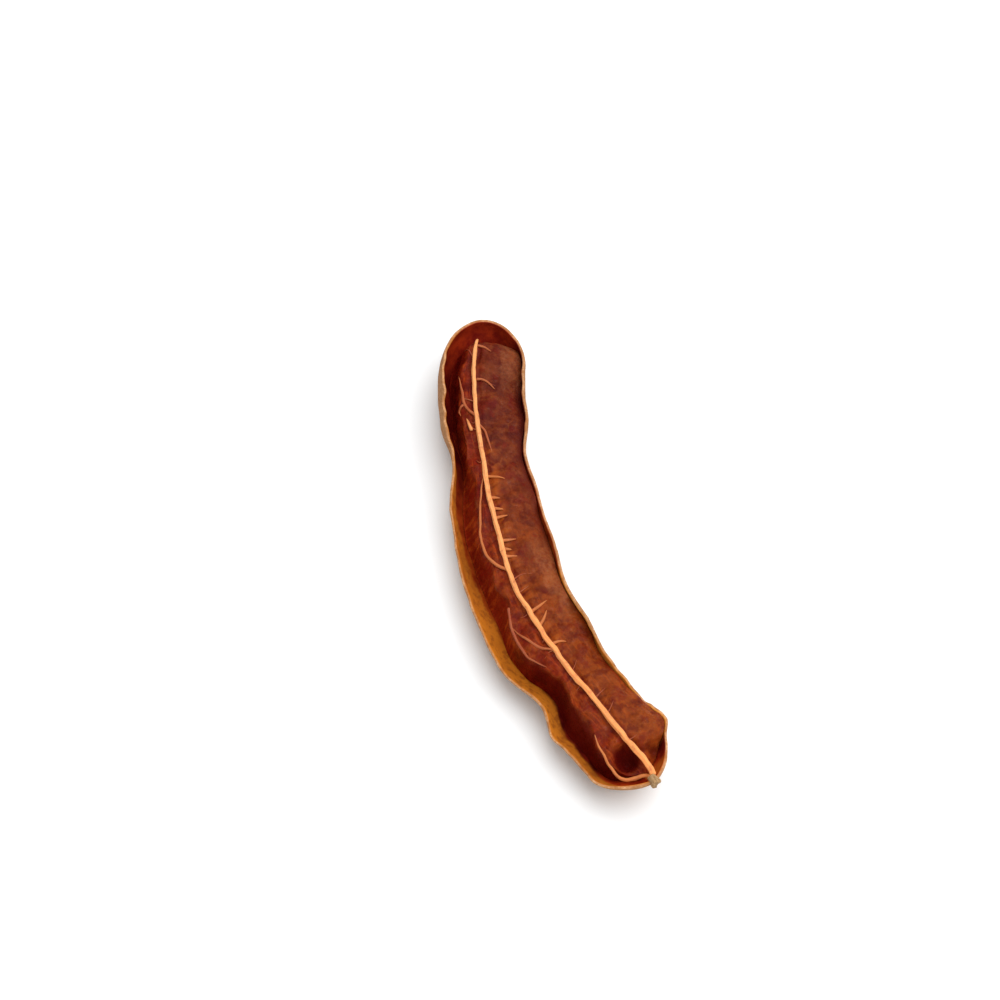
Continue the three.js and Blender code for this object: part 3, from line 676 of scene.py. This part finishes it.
PULP_RINGS, UNDER_POINTS, TOP_POINTS = 600, 30, 112
pulp_s = PULP_START + along_pod(PULP_RINGS, PULP_STOP - PULP_START)[:, None]
under_share = np.linspace(0.0, 1.0, UNDER_POINTS)[None, :-1]
top_share = np.linspace(0.0, 1.0, TOP_POINTS)[None, :-1]
top_share = 1.0 - 0.4 * top_share - 0.6 * (1.0 - np.cos(np.pi * top_share)) / 2.0
pulp_bottom = pulp_under(pulp_s, under_share)
pulp_face, pulp_side, pulp_level = pulp_top(pulp_s, top_share)
off_ends = eased(0.0, 0.5, pulp_ending(pulp_s))
from_crest = pulp_side - station(PULP, 4, pulp_s)
pulp_fine = pulp_relief(pulp_s, pulp_side)
pulp_face[..., 2] += pulp_fine * eased(0.0, 0.35, pulp_level) * off_ends
# The steep left flank is pushed in and out sideways, because the pulp tore there.
flank = eased(0.03, 0.3, pulp_level) * eased(1.0, 0.9, pulp_level) * (from_crest > 0.0)
ragged = 0.55 * grained(pulp_s / 2.1, pulp_face[..., 2] / 2.6, 89, 3) * flank * off_ends
pulp_face[..., 0] -= ragged * np.sin(pod_heading(pulp_s))
pulp_face[..., 1] += ragged * np.cos(pod_heading(pulp_s))

# Marks for the finish. Painted shade and light: 1 for painted shade in the left valley, where the pulp is
# also deep maroon, in the right crease and in the hollows, and below zero for painted light on the middle
# of the left flank. Redder: 1 left of
# the main string. Dry: 1 along the dry right edge, which also carries a painted sheen. Ribbed: 1 on the
# ribs right of the main string.
left_of_crest = eased(0.5, 3.0, from_crest)
# Painted shade low on the left flank, where the pulp is deep maroon as well; in the middle of the pod it
# turns below zero, to painted light on that flank.
left_painted_shade_and_light = eased(0.97, 0.72, pulp_level + 0.09 * grained(pulp_s / 3.0, pulp_side / 2.0, 77, 3))
painted_light_middle = eased(46.0, 56.0, pulp_s) * eased(126.0, 114.0, pulp_s)
left_painted_shade_and_light = left_painted_shade_and_light * left_of_crest * (1.0 - 1.8 * painted_light_middle)
# Painted shade in the crease along the right wall and in the hollows at the stalk.
right_crease_painted_shade = eased(0.55, 0.1, pulp_level) * (1.0 - left_of_crest) * shrunk_right(pulp_s)
hollow_painted_shade = humps(pulp_s, pulp_side, HOLLOWS) + 0.4 * grained(pulp_s / 1.6, pulp_side / 1.6, 83, 2)
hollow_painted_shade = eased(0.6, 2.6, hollow_painted_shade)
pulp_painted_shade_and_light = np.where(left_of_crest > 0.0, left_painted_shade_and_light, right_crease_painted_shade)
pulp_painted_shade_and_light = np.where(hollow_painted_shade > 0.0, np.maximum(pulp_painted_shade_and_light, hollow_painted_shade), pulp_painted_shade_and_light)
from_main = pulp_side - np.interp(pulp_s, main_knots[:, 0], main_knots[:, 1])
pulp_redder = eased(-2.4, 1.6, from_main + 2.2 * grained(pulp_s / 5.0, pulp_side / 4.0, 93, 2))
# Dry right edge, which also carries a painted sheen: in the middle of the pod and towards the tip.
dry_and_sheen_part = eased(50.0, 60.0, pulp_s) * eased(86.0, 74.0, pulp_s) + 0.6 * eased(130.0, 140.0, pulp_s)
pulp_dry_and_sheen = dry_and_sheen_part * eased(-6.4, -9.2, from_main + 2.4 * grained(pulp_s / 3.4, pulp_side / 2.0, 97, 3))
rib_band = np.exp(-(((from_main + 2.3) / 1.7) ** 2))
rib_band = rib_band * eased(36.0, 52.0, pulp_s) * eased(122.0, 108.0, pulp_s)
rib_noise = grained((pulp_s + 0.3 * from_main) / 1.5, from_main / 5.0, 95, 2)
pulp_ribbed = rib_band * eased(0.1, 0.7, rib_noise + 0.35)

# Each mark's value against the shell and its values over the open top.
pulp_marks = {
    "relief": (0.0, pulp_fine), "valley": (1.0, pulp_painted_shade_and_light), "redder": (1.0, pulp_redder),
    "dry": (0.0, pulp_dry_and_sheen), "ribbed": (0.0, pulp_ribbed),
}
pulp = skin_mesh(
    "pulp_flesh", np.concatenate([pulp_bottom, pulp_face], axis=1),
    (pulp_s, np.concatenate([0.0 * under_share, 30.0 * (1 - top_share)], axis=1)),
    {
        mark: np.concatenate([np.full_like(pulp_bottom[..., 2], under), top], axis=1)
        for mark, (under, top) in pulp_marks.items()
    },
)

# Finish: dark, sticky and faintly see-through; maroon at the tip, orange-brown where it is raised and
# towards the stalk.
# Painted shade deepens the left valley, the right crease, the hollows and the pits; painted light lifts the
# middle of the left flank; orange patches are a painted glow, and a painted sheen lies along the dry right
# edge.
pulp_finish, tree, shader = new_finish(
    "pulp_flesh", IOR=1.45, Specular_IOR_Level=0.06, Subsurface_Weight=0.15,
    Subsurface_Radius=(1.0, 0.16, 0.05), Subsurface_Scale=0.0018, Coat_Roughness=0.14,
)
where, lengths, along = places(tree)
relief, valley, redder, dry, ribbed = (marked(tree, mark) for mark in pulp_marks)
clots = mottled(where, 7.0, 5.0, 0.42, 0.6)["Mask"]
blots = mottled(where, 3.4, 4.0, 0.5, 0.64)["Mask"]
# Mask of the painted glow patches.
painted_glow = mottled(where, 5.2, 2.0, 0.5, 0.64)["Mask"]
crimson = mottled(where, 4.1, 2.0, 0.52, 0.64)["Mask"]
grains = mottled(where, 0.9, 5.0, 0.36, 0.66)
smears = mottled(where, 1.9, 4.0, 0.46, 0.66)
webs = effect(web_group, where, Size=3.4, Width=0.12)["Mask"]
streaks = fibrous(lengths, 1.5, 6.0, 0.48, 0.66)["Mask"]
seams = fibrous(lengths, 9.0, 1.4, 0.5, 0.66)["Mask"]
stalkward = ramped(along, 0.055, -0.06)

warm = tinted(stalkward, (0.19, 0.036, 0.01), (0.29, 0.056, 0.007))
brown = layered(tinted(clots, (0.065, 0.005, 0.003), (0.155, 0.028, 0.008)), [
    (stalkward, 0.65, (0.225, 0.04, 0.004)),
    (streaks, 0.4, warm),
    (seams, maths("MULTIPLY", stalkward, 0.6), (0.34, 0.058, 0.006)),
    (smears["Mask"], 0.25, warm),
    (ramped(along, -0.058, -0.07), 0.5, (0.27, 0.024, 0.004)),
])
red = layered(tinted(clots, (0.085, 0.003, 0.0015), (0.18, 0.01, 0.002)), [
    (stalkward, 0.3, (0.23, 0.03, 0.004)),
    (streaks, 0.35, (0.31, 0.036, 0.005)),
    (seams, 0.6, (0.38, 0.05, 0.005)),
])
flesh = layered(tinted(redder, brown, red), [
    (ramped(relief, -0.2, 0.45), 0.4, warm),
    # Painted glow: orange patches that stand for light through the pulp, stronger towards the stalk.
    (painted_glow, ramped(stalkward, 0.0, 0.6, 0.1, 0.32), (0.36, 0.068, 0.008)),
    (crimson, 0.48, (0.13, 0.004, 0.003)),
    (blots, 0.6, (0.08, 0.004, 0.002)),
    # Painted shade: near black where the relief is sunk, in the pits and creases.
    (ramped(relief, -0.14, -0.6), 1, (0.07, 0.003, 0.001)),
    (grains["Mask"], 0.18, (0.08, 0.005, 0.002)),
    (webs, 0.15, (0.36, 0.085, 0.012)),
    (ribbed, 0.55, (0.4, 0.085, 0.01)),
])
# Colour of the painted shade: deep maroon, redder left of the main string and deepest by the stalk.
maroon_painted_shade = tinted(stalkward, (0.08, 0.009, 0.006), (0.2, 0.032, 0.007))
maroon_painted_shade = layered(maroon_painted_shade, [
    (redder, 1, tinted(clots, (0.1, 0.003, 0.0015), (0.19, 0.01, 0.003))),
    (ramped(along, -0.03, -0.05), 0.7, (0.075, 0.003, 0.0015)),
])
# Colour of the painted light on the left flank: orange-red with crimson mottling, deeper red towards the
# tip.
painted_light_flank = layered(tinted(streaks, (0.21, 0.016, 0.004), (0.35, 0.048, 0.006)), [
    (crimson, 0.5, (0.2, 0.006, 0.003)),
    (ramped(along, 0.03, 0.05), 1, (0.18, 0.008, 0.0025)),
])
in_painted_shade = maths("MAXIMUM", valley, 0.0)
flesh = layered(flesh, [
    # Painted light where the mark is below zero, painted shade where it is above.
    (ramped(valley, 0.0, -0.8), 1, painted_light_flank),
    (in_painted_shade, 1, maroon_painted_shade),
    # Pale greyish brown along the dry right edge, partly a painted sheen.
    (dry, ramped(smears["Noise"], 0.35, 0.65, 0.2, 0.6), (0.31, 0.095, 0.032)),
])
tree.links.new(flesh, shader.inputs["Base Color"])
tree.links.new(ramped(smears["Noise"], 0.3, 0.7, 0.36, 0.58), shader.inputs["Roughness"])
shine = ramped(smears["Noise"], 0.58, 0.74, 0.02, 0.2)
shine = maths("MULTIPLY", shine, maths("SUBTRACT", 1.0, in_painted_shade))
tree.links.new(shine, shader.inputs["Coat Weight"])
uneven = maths("ADD", grains["Noise"], maths("MULTIPLY", smears["Noise"], 0.8))
uneven = maths("ADD", uneven, maths("MULTIPLY", webs, 0.3))
raised(shader, uneven, 0.22)
pulp.data.materials.append(pulp_finish)

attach(pulp, "root")
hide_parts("pulp")


# ---- Strings ----
# The tough strings that carried the pod's sap: one main string from the stalk over the crest of the pulp,
# with side strings that grow out of it and lie half sunk in the pulp, and finer threads between them.

STRINGS.update({
    "loop at the stalk": (0.6, 0.45, 0.6, [
        [1.6, -0.2, 0.2], [3.2, 0.8, -0.6], [4.4, 3.4, -1.2], [5.6, 5.5, -1.3], [7.8, 6.5, -1],
        [10.5, 6.4, -0.7], [14, 6.2], [17, 5.8], [20, 4.8],
    ]),
    "left branch, fourth seed": (0.5, 0.4, 0.35, [
        [73.4, 0.6], [76, 4], [80, 5.7], [86, 5.8], [92, 5], [99, 3.6], [104, 2.4],
    ]),
    "left branch, second seed": (0.5, 0.38, 0.2, [
        [45.2, -1], [48.5, 2.2], [51.5, 3.8], [55, 5.2], [57.4, 5.9],
    ]),
    "bow round the second seed": (0.4, 0.4, 0.1, [
        [63, 4.4], [58.5, 5.8], [55, 6.4], [51, 6.6], [47.4, 6.2], [44.8, 5], [42.8, 3.6],
    ]),
    "left branch, far lobe": (0.5, 0.38, 0.2, [
        [122.6, 1.7], [127.6, 5.3], [131, 5.8], [135, 6.3], [138.5, 6.9],
    ]),
    "curl, far lobe": (0.38, 0.35, 0.2, [[128, 5.5], [126.4, 6.9], [124.4, 6.6]]),
    "torn end, far lobe": (0.5, 0.45, 0.8, [[118.9, 3.8], [121, 4.4], [123.2, 5.1]]),
    "right branch, far lobe": (0.4, 0.36, 0.2, [[136, 2], [136, 0], [135, -1.8], [132.8, -3.6]]),
    "right branch, tip": (0.4, 0.36, 0.2, [[147.4, 1.8], [147, -0.6], [145.4, -2.6]]),
    "right branch, waist": (0.4, 0.36, 0.2, [[121, 1.9], [119, 0.2], [116, -0.5], [111.5, -1.3]]),
})
# Short teeth on the right of the main string.
TEETH = (
    [[104.2, 1.6], [103.4, -1.2], [102.4, -3.8]], [[96.6, 1.5], [96.2, -1.4]], [[93, 1.3], [92.5, -1.8]],
    [[90.2, 1.1], [90.5, -2.7]], [[82.6, 0.9], [83, -3.7]], [[80, 0.9], [79.5, -1.7]],
    [[77.5, 1], [77.1, -2.9]], [[58.8, -0.1], [59.6, -3], [61, -6.2]],
    [[54, -0.4], [55.6, -2.6], [58, -4.8]], [[47.6, -0.6], [47.3, -3], [46.6, -5]],
)
STRINGS.update({f"tooth {k}": (0.5, 0.42, 0.4, rows) for k, rows in enumerate(TEETH, 1)})
STRING_SUNK = 0.35
# A side string of more points than this bridges small dips, evened out over this many points each way.
LONG_STRING, BRIDGE = 60, 8


def string_course(knots, step):
    """Places along a string: a Catmull-Rom curve through its knots, spaced by the root of their distances.
    Gives the share of the way, the stretch and the share of it, and the distances from the stalk and left
    of the middle line."""
    p = knots[:, :2]
    q = np.concatenate([2 * p[:1] - p[1:2], p, 2 * p[-1:] - p[-2:-1]])
    spans = np.linalg.norm(np.diff(p, axis=0), axis=1)
    steps = np.maximum(1, np.round(spans / step)).astype(int)
    i = np.append(np.repeat(np.arange(len(spans)), steps), len(spans) - 1)
    t = np.append((np.arange(len(i) - 1) - np.repeat(np.cumsum(steps) - steps, steps)) / steps[i[:-1]], 1.0)
    a, b, c, d = q[i], q[i + 1], q[i + 2], q[i + 3]
    before, within, after = (
        np.sqrt(np.linalg.norm(y - x, axis=1, keepdims=True)) for x, y in ((a, b), (b, c), (c, d))
    )
    leave = ((b - a) / before - (c - a) / (before + within) + (c - b) / within) * within
    arrive = ((c - b) / within - (d - b) / (within + after) + (d - c) / after) * within
    u = t[:, None]
    way = (
        b * (2 * u**3 - 3 * u**2 + 1) + leave * (u**3 - 2 * u**2 + u)
        + c * (3 * u**2 - 2 * u**3) + arrive * (u**3 - u**2)
    )
    return (i + t) / len(spans), i, t, way[:, 0], way[:, 1]


def string_rings(knots, first, last, sides, step, seed):
    """Rings of a string, their radius waved by noise and by five grooves that wind slowly, carried along
    the course at the height of the pulp, or at its own where it hangs. The course wavers by noise. A side
    string thins and sinks towards its far end, and every string closes at both ends."""
    share, i, t, s, side = string_course(knots, step)
    waver = 0.16 * lattice_noise(s / 2.4, np.full_like(s, seed + 0.5), seed + 2)
    side = side + waver * np.sin(np.pi * share) ** 0.5
    radius = first + (last - first) * share
    branch = first < 0.7
    radius = radius * (1.0 - 0.35 * branch * share**2)
    sunk = STRING_SUNK + branch * (0.2 + 0.35 * share**3) + 0.2 * (first < 0.3)
    lying = pulp_height(s[:, None], side[:, None])[:, 0]
    if branch and len(lying) > LONG_STRING:
        weights = np.hanning(2 * BRIDGE + 3)[1:-1]
        lying = np.convolve(np.pad(lying, BRIDGE, mode="edge"), weights / weights.sum(), "valid")
    lying = lying + radius * (1 - sunk)
    hung = knots[i, 2], knots[i + 1, 2]
    this, following = (np.where(np.isnan(above), lying, widest_level(s) + above) for above in hung)
    height = this + (following - this) * eased(0.0, 1.0, t)
    middle = beside_line(s, side, height)
    ahead = np.gradient(middle, axis=0)
    ahead /= np.linalg.norm(ahead, axis=1, keepdims=True)
    sideways = np.cross([0.0, 0.0, 1.0], ahead)
    sideways /= np.linalg.norm(sideways, axis=1, keepdims=True)
    up = np.cross(ahead, sideways)
    run = np.concatenate([[0.0], np.cumsum(np.linalg.norm(np.diff(middle, axis=0), axis=1))])[:, None]
    turn = 2 * np.pi * np.arange(sides)[None] / sides
    uneven = 0.92 + 0.14 * grained(run / 2.4, np.full_like(run, seed), seed, 2)
    grooves = 1.0 + 0.07 * np.sin(5 * turn + run / 4.0 + seed) + 0.06 * lattice_noise(
        run / 1.3, turn * sides / (4 * np.pi), seed + 1
    )
    ending = np.clip((run[-1] - run) / np.minimum(7.0, 0.4 * run[-1]), 0.0, 1.0) ** 0.35
    taper = np.sqrt(np.clip(run / 0.5, 0.0, 1.0)) * ending
    flare = 1.0 + 0.15 * branch * np.exp(-((run / 1.1) ** 2))
    r = radius[:, None] * uneven * grooves * flare * taper
    rings = (
        middle[:, None]
        + (r * np.cos(turn))[..., None] * sideways[:, None]
        + (r * 0.88 * np.sin(turn))[..., None] * up[:, None]
    )
    return rings, run, turn * radius.mean()


def joined_rings(name, strands, tones):
    """One mesh of several closed tubes: each is made by itself, then they are joined."""
    made = [
        skin_mesh(f"{name}_{k}", rings, (run + 3.7 * k, around), {"tone": np.full_like(run, tones[k])})
        for k, (rings, run, around) in enumerate(strands)
    ]
    with bpy.context.temp_override(active_object=made[0], selected_editable_objects=made):
        bpy.ops.object.join()
    made[0].name = made[0].data.name = name
    return made[0]


strings = joined_rings(
    "sap_strings",
    [
        string_rings(knotted(rows), first, last, 28 if tone == 1.0 else 14, 0.28, 11 + k)
        for k, (first, last, tone, rows) in enumerate(STRINGS.values())
    ],
    [tone for _, _, tone, _ in STRINGS.values()],
)

# Finer threads leave the main string at a slant on both sides and fade into the pulp.
draw = np.random.default_rng(83)
strands = []
NEAR_THREADS, FAR_THREADS = 10, 6
for k in range(NEAR_THREADS + FAR_THREADS):
    begin, gap, n = (12.0, 6.2, k) if k < NEAR_THREADS else (108.0, 6.4, k - NEAR_THREADS)
    start = begin + gap * (n + draw.uniform(0.0, 0.8))
    hand = draw.choice([-1.0, 1.0], p=[0.62, 0.38])
    reach = draw.uniform(2.0, 7.5) if hand < 0 else draw.uniform(1.5, 4.5)
    lean = draw.uniform(-0.4, 1.1) * reach
    base = float(np.interp(start, main_knots[:, 0], main_knots[:, 1]))
    bend = draw.uniform(-0.8, 0.8)
    knots = knotted([
        [start, base + hand * 0.3],
        [start + 0.35 * lean + bend, base + hand * (0.3 + 0.4 * reach)],
        [start + lean, base + hand * reach],
    ])
    thickness = draw.uniform(0.18, 0.28)
    strands.append(string_rings(knots, thickness, thickness * 0.6, 6, 0.5, 100 + k))
thin_threads = joined_rings("fine_threads", strands, [draw.uniform(0.0, 0.06) for _ in strands])

# Finish: pale cream orange on the main string, redder and darker where a string is thin, with darker lines
# between its fibres.
string_finish, tree, shader = new_finish(
    "sap_string", IOR=1.45, Specular_IOR_Level=0.3, Subsurface_Weight=0.1,
    Subsurface_Radius=(1.0, 0.45, 0.2), Subsurface_Scale=0.001,
)
where, lengths, along = places(tree)
tone = marked(tree, "tone")
strand = fibrous(lengths, 6.0, 0.35, 0.4, 0.68)
smudge = mottled(where, 2.2, 4.0, 0.5, 0.72)["Mask"]
pale = tinted(ramped(along, -0.065, 0.05), (0.93, 0.34, 0.1), (0.87, 0.365, 0.125))
fibre = tinted(ramped(tone, 0.0, 0.5), (0.26, 0.036, 0.012), (0.52, 0.15, 0.035))
fibre = layered(fibre, [
    (ramped(tone, 0.5, 1.0), 1, pale),
    (strand["Mask"], 0.45, (0.55, 0.2, 0.07)),
    (smudge, 0.5, (0.33, 0.08, 0.03)),
])
tree.links.new(fibre, shader.inputs["Base Color"])
tree.links.new(ramped(strand["Noise"], 0.3, 0.7, 0.45, 0.65), shader.inputs["Roughness"])
raised(shader, strand["Noise"], 0.1)
for piece in (strings, thin_threads):
    piece.data.materials.append(string_finish)
    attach(piece, "root")
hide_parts("strings")


# ---- Stalk stub ----
# The stub of the stalk: a dry, fibrous plug that grew in the end of the shell. The strings grow from it,
# and the stalk has been torn off just outside the shell.

STUB_RINGS = np.array([[0.0, 1.0], [0.25, 1.2], [0.55, 1.35], [0.75, 1.55], [0.92, 1.45], [1.0, 1.0]])
STUB_INSIDE, STUB_OUTSIDE, STUB_DROOP = 2.0, 1.0, 5.0

stub_share = np.concatenate([[0.0], np.linspace(0.0, 1.0, 46), [1.0]])[:, None]
stub_turn = 2 * np.pi * np.arange(44)[None] / 44
stub_radius = np.interp(stub_share, STUB_RINGS[:, 0], STUB_RINGS[:, 1])
stub_radius = stub_radius * (
    1.0 + 0.1 * grained(stub_share * 2.0, stub_turn * 2.2, 91, 2) + 0.05 * np.sin(9 * stub_turn + 2.0)
)
stub_radius[[0, -1]] = 0.0
heading, droop = pod_heading(0.0), np.radians(STUB_DROOP)
stub_way = -np.array([np.cos(heading) * np.cos(droop), np.sin(heading) * np.cos(droop), np.sin(droop)])
stub_across = np.cross([0.0, 0.0, 1.0], stub_way)
stub_across /= np.linalg.norm(stub_across)
stub_up = np.cross(stub_way, stub_across)
torn = 0.45 * grained(stub_turn * 1.6 + 0 * stub_share, stub_share * 0 + 1.0, 97, 3)
torn = torn * eased(0.6, 1.0, stub_share) - 0.5 * (stub_radius == 0) * stub_share
stub_run = stub_share * (STUB_INSIDE + STUB_OUTSIDE) - STUB_INSIDE + torn
stub_rings = (
    shell_surface(np.zeros((1, 1)), np.zeros((1, 1)))
    + stub_run[..., None] * stub_way
    + (stub_radius * np.cos(stub_turn))[..., None] * stub_across
    + (stub_radius * np.sin(stub_turn))[..., None] * stub_up
)
stub_rings[-1] = stub_rings[-1].mean(axis=0)
stub = skin_mesh("torn_stalk", stub_rings, (stub_share * 3.0, stub_turn * 1.6), {})

# Finish: dry greyish tan fibres, darker between them.
stub_finish, tree, shader = new_finish("torn_stalk", IOR=1.45, Roughness=0.85)
where, lengths, _ = places(tree)
dry = fibrous(lengths, 3.0, 0.3, 0.38, 0.64)
crumbs = mottled(where, 0.7, 4.0, 0.4, 0.62)
wood = layered(tinted(dry["Mask"], (0.47, 0.27, 0.11), (0.2, 0.09, 0.03)), [
    (crumbs["Mask"], 0.4, (0.54, 0.37, 0.2)),
])
tree.links.new(wood, shader.inputs["Base Color"])
raised(shader, maths("ADD", dry["Noise"], crumbs["Noise"]), 0.25)
stub.data.materials.append(stub_finish)
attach(stub, "root")
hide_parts("stalk_stub")


# ---- Table, light and camera ----
# A pale plain table top under soft studio light.
table_mesh = bpy.data.meshes.new("table")
table_mesh.from_pydata([(-2, -2, 0), (2, -2, 0), (2, 2, 0), (-2, 2, 0)], [], [(0, 1, 2, 3)])
table = placed("table", table_mesh)
table_finish = new_finish("table", Base_Color=(0.915, 0.93, 0.94, 1.0))[0]
table_mesh.materials.append(table_finish)

world = bpy.data.worlds.new("room")
bpy.context.scene.world = world
world.use_nodes = True
sky = world.node_tree.nodes["Background"].inputs
sky["Color"].default_value = (1.0, 1.0, 1.0, 1.0)
sky["Strength"].default_value = 0.6

# One square lamp, turned to face the pod.
LAMP_PLACE = Vector((0.02, -0.4, 0.95))
lamp_light = bpy.data.lights.new("key", "AREA")
lamp_light.size = 1.4
lamp_light.energy = 14.5
lamp = placed("key", lamp_light)
lamp.location = LAMP_PLACE
lamp.rotation_euler = (-LAMP_PLACE).to_track_quat("-Z", "Y").to_euler()

CAMERA_TURN, CAMERA_RISE = np.radians(-107.23), np.radians(60.0)
CAMERA_AIM = Vector((0.02441, 0.00077, 0.0))
CAMERA_DISTANCE = 0.64
lens = bpy.data.cameras.new("camera")
lens.lens = 80
lens.sensor_width = 36
camera = placed("camera", lens)
back = np.array([np.sin(CAMERA_TURN), -np.cos(CAMERA_TURN), np.tan(CAMERA_RISE)]) * np.cos(CAMERA_RISE)
back = Vector(back)
camera.location = CAMERA_AIM + back * CAMERA_DISTANCE
camera.rotation_euler = back.to_track_quat("Z", "Y").to_euler()
bpy.context.scene.camera = camera
bpy.context.scene.view_settings.view_transform = "Standard"
